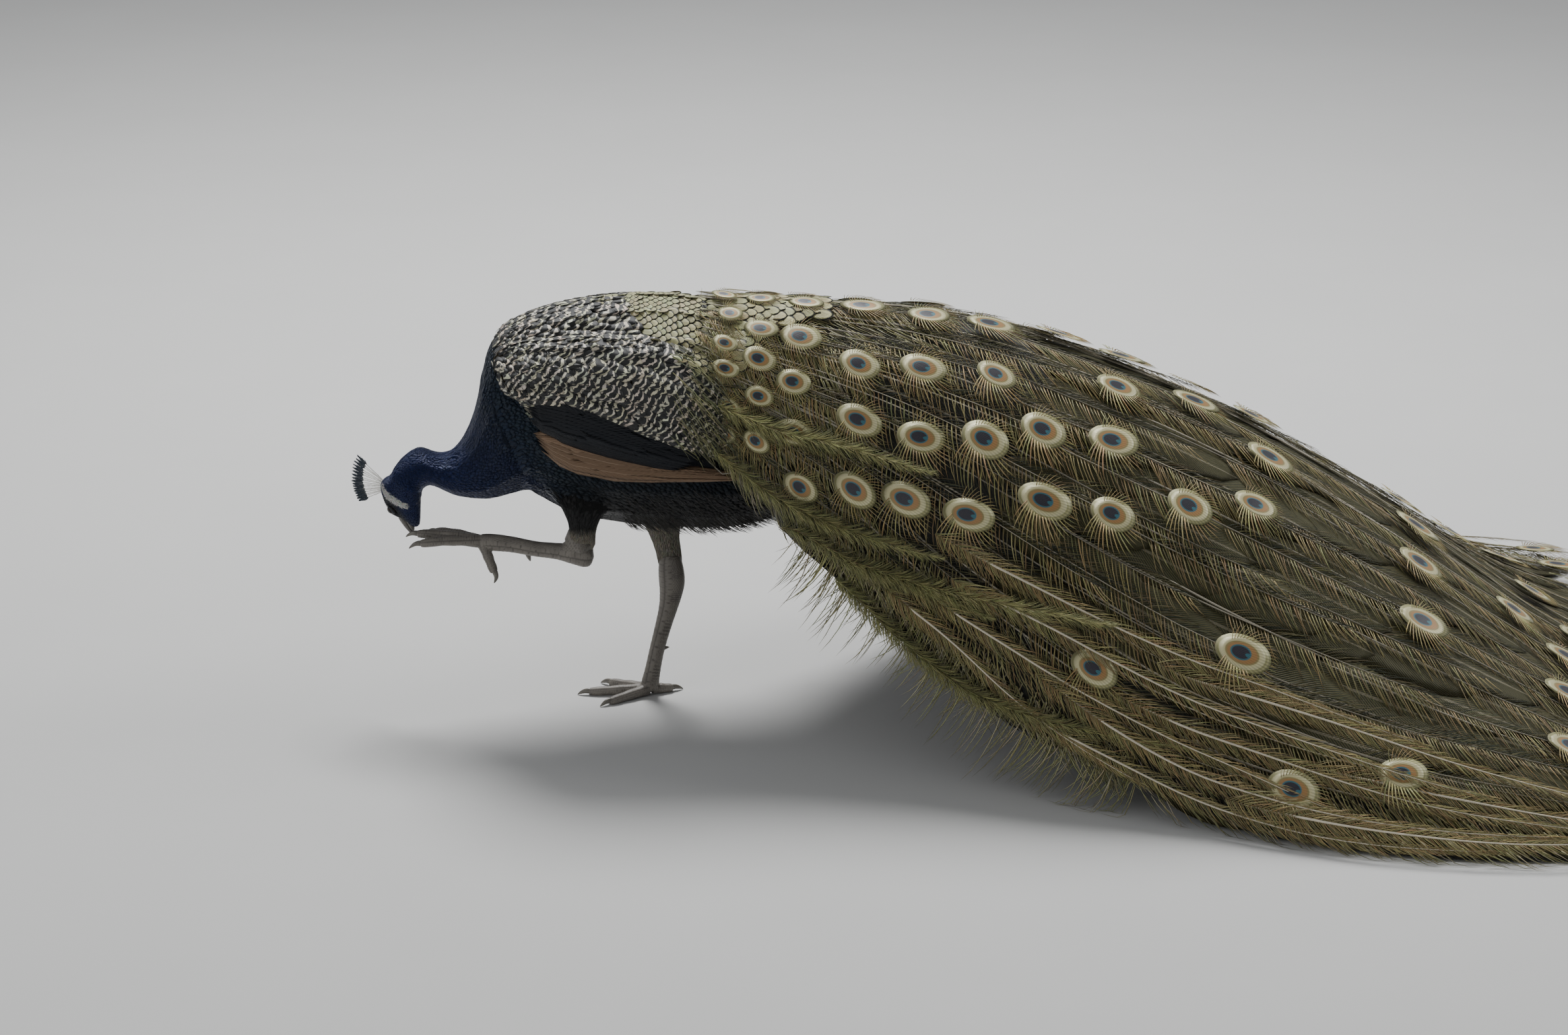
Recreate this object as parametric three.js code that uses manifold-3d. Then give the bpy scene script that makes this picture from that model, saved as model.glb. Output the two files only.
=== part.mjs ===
// A life-size Indian peacock that stands on its right foot, lowers its head and scratches
// its face with its left foot, while the long train lies down behind it.
// Millimetres, +Z up. The origin is on the floor, under the middle of the standing foot.
// The bird faces -X and its left side is -Y.
import * as THREE from "three";
import { mergeVertices } from "three/addons/utils/BufferGeometryUtils.js";
import Module from "manifold-3d";

const wasm = await Module();
wasm.setup();

// ---------------------------------------------------------------- driving sizes
const GAP = 0.4; // clearance between two parts that touch
const CUT_TOLERANCE = 0.2; // smallest step kept along a cut edge
const SHANK_LENGTH = 145; // hock to sole, which sets the scale of the bird
const BACK_HEIGHT = 540;
const TRAIN_END = 1420; // furthest reach of the train behind the standing foot
const CREST_LENGTH = 54;
const CREST_PLUMES = 11;
const CREST_SPREAD = 52; // degrees from the first plume to the last
const CREST_BASE = 16; // length of the row of plume roots
const EYE_RADIUS = 7.2;
const CLAW_LENGTH = 15;
const TOE_RADIUS = 6.5;
const SPUR_LENGTH = 11;
const FEATHER_SHEET = 13; // thickness of a layer of train feathers
const FLOOR_SHEET = 9; // thickness of the train where it lies on the floor

// ---------------------------------------------------------------- materials
const finish = (color, roughness = 0.7, metalness = 0) =>
  new THREE.MeshStandardMaterial({ color, roughness, metalness });

const PLUMAGE_BLUE = finish(0x10307a, 0.45, 0.2);
const BELLY_BLACK = finish(0x14181a, 0.8);
const BARRED_BUFF = finish(0xb9a77d, 0.8);
const SECONDARY_BLACK = finish(0x101417, 0.55);
const PRIMARY_CHESTNUT = finish(0xa5713f, 0.75);
const TRAIN_GREEN = finish(0x4f6a35, 0.55, 0.25);
const TAIL_BROWN = finish(0x5b4a3a, 0.8);
const SHANK_SCALES = finish(0x8a7f72, 0.6);
const THIGH_DOWN = finish(0xa3957c, 0.85);
const HORN = finish(0x57504a, 0.4);
const CREST_BLUE = finish(0x2458a0, 0.5, 0.15);
const EYE_BROWN = finish(0x2a1508, 0.12);

// ---------------------------------------------------------------- solids
// A three.js geometry as a manifold solid with its faces pointing out.
function solidOf(geometry) {
  const bare = geometry.clone();
  bare.deleteAttribute("normal");
  bare.deleteAttribute("uv");
  const merged = mergeVertices(bare, 1e-4);
  const faces = new Uint32Array(merged.index.array);
  const build = () =>
    new wasm.Manifold(
      new wasm.Mesh({
        numProp: 3,
        vertProperties: new Float32Array(merged.attributes.position.array),
        triVerts: faces,
      }),
    );
  const first = build();
  if (first.volume() >= 0) return first;
  for (let i = 0; i < faces.length; i += 3) {
    [faces[i + 1], faces[i + 2]] = [faces[i + 2], faces[i + 1]];
  }
  return build();
}

function geometryOf(solid) {
  const mesh = solid.getMesh();
  return new THREE.BufferGeometry()
    .setAttribute("position", new THREE.BufferAttribute(mesh.vertProperties, 3))
    .setIndex(new THREE.BufferAttribute(mesh.triVerts, 1));
}

// The biggest single body of a solid without the slivers that a cut leaves behind.
function mainBody(solid) {
  return solid
    .simplify(CUT_TOLERANCE)
    .decompose()
    .reduce((best, body) => (body.volume() > best.volume() ? body : best));
}

// A smooth run of numbers through evenly spaced values, read at t from 0 to 1.
function smoothValues(values) {
  const curve = new THREE.CatmullRomCurve3(
    values.map((value, i) => new THREE.Vector3(i, value, 0)),
  );
  return (t) => curve.getPoint(t).y;
}

// A closed form between an upper and a lower side outline, with rounded cross-sections.
// top and bottom hold [x, z], half the half-widths and shift the sideways places of the
// same stations. lean sets the top edge over to one side. Both ends close to a point.
function outlineForm({ top, bottom, half, shift, lean = 0, rings, sides, place }) {
  const flat = ([x, z]) => new THREE.Vector3(x, 0, z);
  const upper = new THREE.CatmullRomCurve3(top.map(flat));
  const lower = new THREE.CatmullRomCurve3(bottom.map(flat));
  const halfAt = smoothValues(half);
  const shiftAt = smoothValues(shift ?? half.map(() => 0));
  const geometry = new THREE.SphereGeometry(1, sides, rings);
  const position = geometry.attributes.position;
  for (let ring = 0; ring <= rings; ring++) {
    const t = ring / rings;
    const high = upper.getPoint(t);
    const low = lower.getPoint(t);
    const centre = high.clone().add(low).multiplyScalar(0.5);
    const reach = high.clone().sub(centre);
    const closed = ring === 0 || ring === rings ? 0 : 1;
    for (let side = 0; side <= sides; side++) {
      const angle = (side / sides) * 2 * Math.PI;
      const across = (halfAt(t) * Math.sin(angle) + lean * Math.cos(angle)) * closed;
      const point = centre.clone().addScaledVector(reach, Math.cos(angle) * closed);
      position.setXYZ(ring * (sides + 1) + side, point.x, shiftAt(t) + across, point.z);
    }
  }
  if (place) geometry.applyMatrix4(place);
  return solidOf(geometry);
}

// A round limb along points [x, y, z, radius], with closed ends.
function limb(points, { rings, sides, squash = 1 }) {
  const path = new THREE.CatmullRomCurve3(
    points.map(([x, y, z]) => new THREE.Vector3(x, y, z)),
  );
  const radiusAt = smoothValues(points.map((point) => point[3]));
  const geometry = new THREE.SphereGeometry(1, sides, rings);
  const position = geometry.attributes.position;
  const across = new THREE.Vector3(0, 1, 0);
  for (let ring = 0; ring <= rings; ring++) {
    const t = ring / rings;
    const centre = path.getPoint(t);
    const along = path.getTangent(t);
    const sideways = across.clone().addScaledVector(along, -across.dot(along)).normalize();
    const upward = sideways.clone().cross(along).normalize();
    const closed = ring === 0 || ring === rings ? 0 : 1;
    const radius = radiusAt(t) * closed;
    for (let side = 0; side <= sides; side++) {
      const angle = (side / sides) * 2 * Math.PI;
      const point = centre
        .clone()
        .addScaledVector(sideways, radius * squash * Math.sin(angle))
        .addScaledVector(upward, radius * Math.cos(angle));
      position.setXYZ(ring * (sides + 1) + side, point.x, point.y, point.z);
    }
  }
  return solidOf(geometry);
}

// The same solid with every face moved outward, used to cut clearance into its neighbours.
function swollen(solid, by = GAP) {
  const geometry = geometryOf(solid);
  const position = geometry.attributes.position;
  const facings = Array.from({ length: position.count }, () => []);
  const corners = [0, 1, 2].map(() => new THREE.Vector3());
  for (let i = 0; i < geometry.index.count; i += 3) {
    const ids = [0, 1, 2].map((k) => geometry.index.getX(i + k));
    ids.forEach((id, k) => corners[k].fromBufferAttribute(position, id));
    const facing = new THREE.Triangle(...corners).getNormal(new THREE.Vector3());
    ids.forEach((id) => facings[id].push(facing));
  }
  facings.forEach((around, id) => {
    const outward = around.reduce((sum, facing) => sum.add(facing), new THREE.Vector3());
    const least = () =>
      around.reduce((low, facing) => (facing.dot(outward) < low.dot(outward) ? facing : low));
    outward.normalize();
    for (let round = 0; round < 24; round++) outward.addScaledVector(least(), 0.15).normalize();
    const reach = by / Math.max(least().dot(outward), 0.3);
    corners[0].fromBufferAttribute(position, id).addScaledVector(outward, reach);
    position.setXYZ(id, ...corners[0].toArray());
  });
  return solidOf(geometry);
}

// A big block with one face on a plane, for trimming and parting.
function halfSpace(point, normal) {
  const size = 3000;
  const block = new THREE.BoxGeometry(size, size, size);
  const facing = new THREE.Vector3(...normal).normalize();
  const turn = new THREE.Quaternion().setFromUnitVectors(new THREE.Vector3(0, 0, 1), facing);
  const centre = new THREE.Vector3(...point).addScaledVector(facing, size / 2);
  block.applyMatrix4(new THREE.Matrix4().compose(centre, turn, new THREE.Vector3(1, 1, 1)));
  return solidOf(block);
}

// Splits a solid at a plane with a thin cut and returns [the side the normal points to, the rest].
function partAt(solid, point, normal) {
  const facing = new THREE.Vector3(...normal).normalize();
  const start = new THREE.Vector3(...point);
  const ahead = start.clone().addScaledVector(facing, GAP / 2).toArray();
  const behind = start.clone().addScaledVector(facing, -GAP / 2).toArray();
  const front = solid.intersect(halfSpace(ahead, facing.toArray()));
  const back = solid.intersect(halfSpace(behind, facing.clone().negate().toArray()));
  return [mainBody(front), mainBody(back)];
}

const FLOOR = halfSpace([0, 0, 0], [0, 0, -1]);

// ---------------------------------------------------------------- body
function trunkForm() {
  return outlineForm({
    top: [
      [-206, 440], [-200, 474], [-172, 503], [-120, 524], [-50, 537], [20, BACK_HEIGHT],
      [90, 530], [150, 508], [210, 474], [262, 416],
    ],
    bottom: [
      [-206, 400], [-196, 345], [-166, 300], [-116, 262], [-50, 240], [20, 233],
      [90, 230], [150, 240], [210, 270], [262, 366],
    ],
    half: [14, 52, 82, 102, 113, 115, 110, 96, 70, 20],
    rings: 14,
    sides: 18,
  });
}

function neckForm() {
  return outlineForm({
    top: [
      [-150, 500], [-205, 452], [-213, 415], [-225, 373], [-248, 338], [-268, 336],
      [-287, 344], [-311, 329], [-326, 303], [-322, 268], [-304, 238],
    ],
    bottom: [
      [-60, 302], [-134, 286], [-167, 277], [-196, 270], [-241, 274], [-262, 285],
      [-276, 290], [-284, 281], [-285, 264], [-286, 246], [-289, 231],
    ],
    half: [60, 84, 70, 55, 35, 29, 26, 22, 17, 12, 4],
    shift: [0, 0, -1, -3, -6, -8, -9, -13, -18, -20, -18],
    rings: 20,
    sides: 12,
  });
}

// The head is modelled level, with its own x forward along the bill and z up through the
// crown, and is then turned down, rolled and set on the neck.
const HEAD_CENTRE = new THREE.Vector3(-314.5, -11, 265.2);
const HEAD_DIP = THREE.MathUtils.degToRad(111); // below level, turning back under the neck
const HEAD_ROLL = THREE.MathUtils.degToRad(44); // crown away from the left side
function headPlace() {
  const forward = new THREE.Vector3(-Math.cos(HEAD_DIP), 0, -Math.sin(HEAD_DIP));
  const level = new THREE.Vector3(-Math.sin(HEAD_DIP), 0, Math.cos(HEAD_DIP));
  const up = level
    .multiplyScalar(Math.cos(HEAD_ROLL))
    .add(new THREE.Vector3(0, Math.sin(HEAD_ROLL), 0));
  const side = up.clone().cross(forward);
  return new THREE.Matrix4().makeBasis(forward, side, up).setPosition(HEAD_CENTRE);
}
const HEAD_PLACE = headPlace();

function headForm() {
  return outlineForm({
    top: [[-42, 2], [-36, 10], [-24, 15], [-9, 17.5], [4, 17.5], [13, 13], [19, 7]],
    bottom: [[-42, -4], [-35, -16], [-22, -21], [-7, -22], [4, -20], [13, -15], [19, -8]],
    half: [6, 14.5, 17.5, 17.5, 15.5, 10.5, 6],
    rings: 11,
    sides: 12,
    place: HEAD_PLACE,
  });
}

function upperBill() {
  return outlineForm({
    top: [[8, 8], [16, 9.5], [25, 8], [34, 4.5], [41, -1], [47, -9]],
    bottom: [[8, -1], [16, -2], [25, -2.5], [34, -3.5], [41, -5.5], [47.5, -10]],
    half: [4, 7, 5.8, 4.6, 3.2, 1],
    rings: 7,
    sides: 7,
    place: HEAD_PLACE,
  });
}

function lowerBill() {
  return outlineForm({
    top: [[6, -4], [16, -3.2], [25, -3.6], [33, -4.8], [39, -6.6]],
    bottom: [[6, -8], [16, -11.5], [25, -10.5], [33, -9], [39, -7.6]],
    half: [3, 6, 4.8, 3.6, 1],
    rings: 6,
    sides: 7,
    place: HEAD_PLACE,
  });
}

function eyeBall(side) {
  const ball = new THREE.SphereGeometry(EYE_RADIUS, 10, 6);
  ball.translate(0, side * 10.8, 0.5);
  ball.applyMatrix4(HEAD_PLACE);
  return solidOf(ball);
}

// The crest: plumes with bare shafts and paddle tips that fan out over the head's length.
function crest() {
  const root = new THREE.SphereGeometry(4.2, 6, 4);
  root.scale(2.4, 0.8, 1);
  let fan = solidOf(root);
  for (let i = 0; i < CREST_PLUMES; i++) {
    const share = i / (CREST_PLUMES - 1) - 0.5;
    const lean = THREE.MathUtils.degToRad(CREST_SPREAD * share + 7);
    const length = CREST_LENGTH * (1 - 0.1 * (2 * share) ** 2);
    const shaft = new THREE.CylinderGeometry(0.8, 0.8, length, 3);
    shaft.translate(0, length / 2, 0);
    const paddle = new THREE.SphereGeometry(1, 5, 3);
    paddle.scale(3.4, 7.5, 1.1);
    paddle.translate(0, length - 1, (i % 2) * 0.8 - 0.4);
    const aim = new THREE.Matrix4().makeRotationX(Math.PI / 2);
    const tilt = new THREE.Matrix4().makeRotationY(lean);
    for (const piece of [shaft, paddle]) {
      piece.applyMatrix4(aim);
      piece.applyMatrix4(tilt);
      piece.translate(share * CREST_BASE, 0, 0);
      fan = fan.add(solidOf(piece));
    }
  }
  const set = geometryOf(fan);
  const leanBack = THREE.MathUtils.degToRad(-20);
  set.applyMatrix4(new THREE.Matrix4().makeRotationY(leanBack));
  set.translate(-28, 0, 15);
  set.applyMatrix4(HEAD_PLACE);
  return solidOf(set);
}

// ---------------------------------------------------------------- wings
// Each wing is folded: a barred shield of coverts over black secondaries, with the
// chestnut primaries showing below. side is -1 for the left wing and 1 for the right.
function wingBlade(side, { top, bottom, half, shift, lean, rings = 7, sides = 6 }) {
  return outlineForm({
    top, bottom, half, shift: shift.map((y) => side * y), lean: side * lean, rings, sides,
  });
}

const SHIELD = {
  top: [
    [-193, 482], [-172, 492], [-120, 503], [-40, 510], [50, 496], [120, 462], [170, 418],
    [196, 392],
  ],
  bottom: [
    [-193, 466], [-160, 428], [-110, 437], [-40, 415], [30, 380], [100, 368], [160, 372],
    [196, 384],
  ],
  half: [6, 15, 22, 26, 27, 25, 20, 8],
  shift: [60, 74, 88, 96, 98, 93, 86, 78],
  lean: -20,
  rings: 10,
  sides: 10,
};
const SECONDARIES = {
  top: [[-150, 436], [-120, 450], [-50, 440], [40, 410], [120, 390], [185, 372]],
  bottom: [[-150, 420], [-118, 392], [-50, 372], [40, 352], [120, 346], [185, 356]],
  half: [4, 9, 12, 12, 10, 4],
  shift: [88, 102, 112, 114, 108, 94],
  lean: -3,
};
const PRIMARIES = {
  top: [[-140, 396], [-110, 394], [-50, 378], [40, 356], [120, 347], [190, 342]],
  bottom: [[-140, 378], [-105, 350], [-50, 338], [40, 334], [120, 336], [190, 338]],
  half: [3, 7, 8, 8, 7, 3],
  shift: [86, 102, 111, 112, 106, 95],
  lean: 2,
};

// ---------------------------------------------------------------- legs
// The left leg is raised: its shank points forward and its toes reach the face.
function raisedThigh() {
  return outlineForm({
    top: [[-150, 330], [-122, 296], [-103, 268], [-100, 246], [-106, 226], [-100, 212]],
    bottom: [[20, 330], [-24, 292], [-54, 262], [-58, 243], [-60, 222], [-74, 205]],
    half: [26, 30, 25, 19, 15, 6],
    shift: [-58, -60, -61, -60, -58, -56],
    rings: 8,
    sides: 10,
  });
}

function standingThigh() {
  return outlineForm({
    top: [[-60, 320], [-34, 268], [-10, 222], [3, 194], [8, 166], [14, 140]],
    bottom: [[90, 320], [66, 262], [44, 220], [47, 190], [48, 162], [36, 138]],
    half: [52, 42, 26, 18, 13, 8],
    shift: [44, 38, 28, 21, 17, 15],
    rings: 8,
    sides: 10,
  });
}

const RAISED_HOCK = [-80, -57, 214];
const RAISED_FOOT = [-207, -47, 228]; // where the toes of the raised foot meet
const STANDING_HOCK = [30, 14, 148];
const SOLE_RISE = 6; // height of the standing foot's toe joints above the floor

function raisedShank() {
  const [x0, y0, z0] = RAISED_HOCK;
  const [x1, y1, z1] = RAISED_FOOT;
  return limb(
    [
      [x0 + 12, y0, z0 - 4, 8],
      [x0 - 4, y0, z0 - 1, 11.5],
      [x0 + 0.4 * (x1 - x0), y0 + 0.4 * (y1 - y0), z0 + 0.42 * (z1 - z0), 9.2],
      [x0 + 0.8 * (x1 - x0), y0 + 0.8 * (y1 - y0), z0 + 0.86 * (z1 - z0), 9.8],
      [x1 - 4, y1, z1 + 1, 7],
    ],
    { rings: 8, sides: 8, squash: 0.74 },
  );
}

function standingShank() {
  const [x0, y0, z0] = STANDING_HOCK;
  return limb(
    [
      [x0 - 2, y0, z0 + 12, 8],
      [x0, y0, z0 - 4, 12.5],
      [x0 - 12, y0 * 0.7, z0 - 0.33 * SHANK_LENGTH, 9.3],
      [x0 - 24, y0 * 0.3, z0 - 0.66 * SHANK_LENGTH, 9.2],
      [2, 0, 18, 10.5],
      [-2, 0, 4, 8],
    ],
    { rings: 10, sides: 8, squash: 0.78 },
  );
}

// Toes run from a joint along a heading. Each entry is [heading, length, droop].
const degrees = THREE.MathUtils.degToRad;
const STANDING_TOES = [
  { name: "inner", heading: 150, length: 62 },
  { name: "middle", heading: 181, length: 80 },
  { name: "outer", heading: 214, length: 62 },
  { name: "hind", heading: 22, length: 32 },
];

function standingToe({ heading, length }) {
  const along = [Math.cos(degrees(heading)), Math.sin(degrees(heading))];
  const at = (distance, height, radius) => [
    along[0] * distance, along[1] * distance, height, radius,
  ];
  const flexible = [
    at(-2, SOLE_RISE + 4, TOE_RADIUS),
    at(length * 0.3, SOLE_RISE + 1, TOE_RADIUS + 0.6),
    at(length * 0.65, SOLE_RISE - 2, TOE_RADIUS - 0.6),
    at(length, SOLE_RISE - 2.6, TOE_RADIUS - 2.2),
  ];
  return limb(flexible, { rings: 7, sides: 6 }).subtract(FLOOR);
}

// The pad where the toes of a foot meet.
function toeJoint(centre) {
  const pad = new THREE.SphereGeometry(TOE_RADIUS + 1.5, 8, 6);
  pad.translate(...centre);
  return solidOf(pad).subtract(FLOOR);
}

function claw(base, along, bend) {
  const start = new THREE.Vector3(...base);
  const forward = new THREE.Vector3(...along).normalize();
  const down = new THREE.Vector3(...bend).normalize();
  const at = (distance, drop, radius) => [
    ...start.clone().addScaledVector(forward, distance).addScaledVector(down, drop).toArray(),
    radius,
  ];
  return limb(
    [at(-4, 0, 3), at(3, 0, 3.4), at(CLAW_LENGTH * 0.6, 1.4, 2.2), at(CLAW_LENGTH, 4.2, 0.6)],
    { rings: 5, sides: 5 },
  );
}

function standingClaw({ heading, length }) {
  const along = [Math.cos(degrees(heading)), Math.sin(degrees(heading)), 0];
  const base = [along[0] * length, along[1] * length, SOLE_RISE - 1];
  return claw(base, along, [0, 0, -1]).subtract(FLOOR);
}

// The raised foot: two toes reach along the face, one lies beside them and the hind toe hangs.
const RAISED_TOES = [
  { name: "inner", tip: [-284, -62, 231], arch: 1 },
  { name: "middle", tip: [-284, -46, 239], arch: 3 },
  { name: "outer", tip: [-268, -30, 236], arch: 3 },
  { name: "hind", tip: [-192, -57, 190], arch: 0 },
];

function raisedToe({ tip, arch }) {
  const [x0, y0, z0] = RAISED_FOOT;
  const at = (share, lift, radius) => [
    x0 + share * (tip[0] - x0), y0 + share * (tip[1] - y0),
    z0 + share * (tip[2] - z0) + lift, radius,
  ];
  return limb(
    [
      at(0, 0, TOE_RADIUS),
      at(0.35, arch, TOE_RADIUS + 0.4),
      at(0.7, arch, TOE_RADIUS - 0.8),
      at(1, 0, TOE_RADIUS - 2.2),
    ],
    { rings: 7, sides: 6 },
  );
}

function raisedClaw({ tip, name }) {
  const along = tip.map((value, i) => value - RAISED_FOOT[i]);
  const bend = name === "hind" ? [-1, 0, 0] : [0, 0, -1];
  return claw(tip, along, bend);
}

function spur(base, along) {
  const start = new THREE.Vector3(...base);
  const aim = new THREE.Vector3(...along).normalize();
  const at = (distance, radius) => [
    ...start.clone().addScaledVector(aim, distance).toArray(), radius,
  ];
  return limb([at(-3, 4), at(3, 4.2), at(SPUR_LENGTH * 0.6, 2.4), at(SPUR_LENGTH, 0.6)], {
    rings: 5, sides: 6,
  });
}

// ---------------------------------------------------------------- train
// The draped surface of the train at stations behind the standing foot: its half-width, the
// height of its ridge and of its side edges, and how round (0.5) or tented (1) it arches.
const DRAPE = [
  { x: 50, half: 104, ridge: 540, edge: 390, arch: 0.5 },
  { x: 150, half: 140, ridge: 530, edge: 300, arch: 0.52 },
  { x: 250, half: 185, ridge: 523, edge: 225, arch: 0.58 },
  { x: 350, half: 245, ridge: 514, edge: 150, arch: 0.66 },
  { x: 450, half: 308, ridge: 492, edge: 96, arch: 0.76 },
  { x: 550, half: 362, ridge: 458, edge: 52, arch: 0.85 },
  { x: 650, half: 410, ridge: 417, edge: 22, arch: 0.93 },
  { x: 750, half: 455, ridge: 368, edge: 14, arch: 1 },
  { x: 850, half: 492, ridge: 310, edge: 12, arch: 1.05 },
  { x: 950, half: 512, ridge: 245, edge: 12, arch: 1.1 },
  { x: 1050, half: 518, ridge: 172, edge: 12, arch: 1.1 },
  { x: 1150, half: 512, ridge: 100, edge: 12, arch: 1.1 },
  { x: 1250, half: 490, ridge: 46, edge: 12, arch: 1.1 },
  { x: 1350, half: 455, ridge: 22, edge: 12, arch: 1.1 },
  { x: 1450, half: 410, ridge: 15, edge: 12, arch: 1.1 },
];
const DRAPE_START = DRAPE[0].x;
const DRAPE_SPAN = DRAPE[DRAPE.length - 1].x - DRAPE_START;
const drapeCurve = (key) => smoothValues(DRAPE.map((station) => station[key]));
const HALF_AT = drapeCurve("half");
const RIDGE_AT = drapeCurve("ridge");
const EDGE_AT = drapeCurve("edge");
const ARCH_AT = drapeCurve("arch");

// A point of the surface: x along the bird and v from -1 at the left edge to 1 at the right.
function drapePoint(x, v) {
  const t = THREE.MathUtils.clamp((x - DRAPE_START) / DRAPE_SPAN, 0, 1);
  const fall = Math.max(0, 1 - v * v) ** ARCH_AT(t);
  return new THREE.Vector3(
    x,
    HALF_AT(t) * v,
    EDGE_AT(t) + (RIDGE_AT(t) - EDGE_AT(t)) * fall,
  );
}

function drapeNormal(x, v) {
  const inside = THREE.MathUtils.clamp(v, -0.985, 0.985);
  const step = 0.01;
  const across = drapePoint(x, inside + step).sub(drapePoint(x, inside - step));
  const along = drapePoint(x + 4, inside).sub(drapePoint(x - 4, inside));
  return along.cross(across).normalize();
}

// Tiers of feathers overlap like roof tiles. Their ends are scalloped by the feather tips
// and swept forward at the sides, where the feathers are shorter.
const SIDE_SWEEP = 190;
const TIERS = [
  { start: 70, end: 300, lobes: 4, depth: 16 },
  { start: 300, end: 600, lobes: 4, depth: 22 },
  { start: 600, end: 960, lobes: 4, depth: 28 },
  { start: 960, end: TRAIN_END, lobes: 4, depth: 34 },
];
const SECTORS = [
  { name: "left", from: -1, to: -0.4 },
  { name: "middle", from: -0.4, to: 0.4 },
  { name: "right", from: 0.4, to: 1 },
];
const TIP_LIFT = 4; // how far each tier's tips stand over the next tier

function edgeLine(reach, { lobes, depth }, v, sectorShare) {
  const sweep = SIDE_SWEEP * (reach / TRAIN_END) ** 1.5 * v * v;
  const lobe = Math.abs(Math.sin(Math.PI * lobes * sectorShare)) ** 0.7;
  return reach - sweep - depth * (1 - lobe);
}

function trainSheet(index, sector) {
  const tier = TIERS[index];
  const along = 3;
  const across = tier.lobes * 2;
  const sheet = new THREE.BoxGeometry(1, 1, 1, along, across, 1);
  const position = sheet.attributes.position;
  for (let i = 0; i < position.count; i++) {
    const u = position.getX(i) + 0.5;
    const share = position.getY(i) + 0.5;
    const v = THREE.MathUtils.lerp(sector.from, sector.to, share);
    const inner = index === 0 ? tier.start : edgeLine(tier.start, TIERS[index - 1], v, share);
    const outer = edgeLine(tier.end, tier, v, share) - GAP * 2;
    const x = THREE.MathUtils.lerp(inner, outer, u);
    const surface = drapePoint(x, v);
    const lift = index === TIERS.length - 1 ? 0 : TIP_LIFT * (u - 0.5);
    const sink = position.getZ(i) > 0 ? -lift : FEATHER_SHEET;
    surface.addScaledVector(drapeNormal(x, v), -sink);
    const floorLevel = position.getZ(i) > 0 ? FLOOR_SHEET : 0;
    position.setXYZ(i, surface.x, surface.y, Math.max(surface.z, floorLevel));
  }
  return solidOf(sheet);
}

// The stiff brown tail feathers lie under the train and hold it up.
const TAIL = { start: 236, end: 640, from: -0.42, to: 0.42, under: 17, sheet: 6 };
function tailFan() {
  const fan = new THREE.BoxGeometry(1, 1, 1, 4, 6, 1);
  const position = fan.attributes.position;
  for (let i = 0; i < position.count; i++) {
    const u = position.getX(i) + 0.5;
    const share = position.getY(i) + 0.5;
    const spread = THREE.MathUtils.lerp(0.75, 1, u);
    const v = THREE.MathUtils.lerp(TAIL.from, TAIL.to, share) * spread;
    const end = TAIL.end - 60 * (2 * share - 1) ** 2;
    const x = THREE.MathUtils.lerp(TAIL.start, end, u);
    const depth = position.getZ(i) > 0 ? TAIL.under : TAIL.under + TAIL.sheet;
    const surface = drapePoint(x, v).addScaledVector(drapeNormal(x, v), -depth);
    position.setXYZ(i, surface.x, surface.y, surface.z);
  }
  return solidOf(fan);
}

// ---------------------------------------------------------------- assembly
const peacock = new THREE.Group();

function show(name, solid, material) {
  const mesh = new THREE.Mesh(geometryOf(mainBody(solid)), material);
  mesh.name = name;
  peacock.add(mesh);
}

const union = (solids) => solids.reduce((all, solid) => all.add(solid));
const clearOf = (solid, neighbours) =>
  neighbours.reduce((left, neighbour) => left.subtract(swollen(neighbour)), solid);

// Train: each sector is cut back to its left neighbour and each tier to the one above it.
const train = [];
TIERS.forEach((tier, index) => {
  const above = train.slice(-SECTORS.length);
  const beside = [];
  for (const sector of SECTORS) {
    const sheet = trainSheet(index, sector);
    show(`train_${index + 1}_${sector.name}`, clearOf(sheet, [...above, ...beside]), TRAIN_GREEN);
    beside.push(sheet);
  }
  train.push(...beside);
});
show("tail", clearOf(tailFan(), [trunkForm(), ...train]), TAIL_BROWN);
const overBody = train.slice(0, SECTORS.length);

// Wings: the secondaries lie under the barred shield, and the primaries under both.
const wings = [];
for (const [name, side] of [["left", -1], ["right", 1]]) {
  const shield = wingBlade(side, SHIELD);
  const secondaries = wingBlade(side, SECONDARIES);
  const primaries = wingBlade(side, PRIMARIES);
  show(`wing_${name}`, clearOf(shield, overBody), BARRED_BUFF);
  show(`secondaries_${name}`, clearOf(secondaries, [...overBody, shield]), SECONDARY_BLACK);
  show(
    `primaries_${name}`,
    clearOf(primaries, [...overBody, shield, secondaries]),
    PRIMARY_CHESTNUT,
  );
  wings.push(shield, secondaries, primaries);
}

// Head furniture.
const upper = upperBill();
const lower = lowerBill();
const eyes = [eyeBall(1), eyeBall(-1)];
show("bill_upper", upper, HORN);
show("bill_lower", clearOf(lower, [upper]), HORN);
show("eye_left", eyes[0], EYE_BROWN);
show("eye_right", eyes[1], EYE_BROWN);

// Feet: the toes of a foot are one piece, with a claw at each tip.
const leftToes = [...RAISED_TOES.map(raisedToe), toeJoint(RAISED_FOOT)];
const rightToes = [...STANDING_TOES.map(standingToe), toeJoint([0, 0, SOLE_RISE])];
RAISED_TOES.forEach((toe) => {
  show(`claw_left_${toe.name}`, clearOf(raisedClaw(toe), leftToes), HORN);
});
STANDING_TOES.forEach((toe) => {
  show(`claw_right_${toe.name}`, clearOf(standingClaw(toe), rightToes), HORN);
});
show("foot_left", union(leftToes), SHANK_SCALES);
show("foot_right", union(rightToes), SHANK_SCALES);

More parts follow.
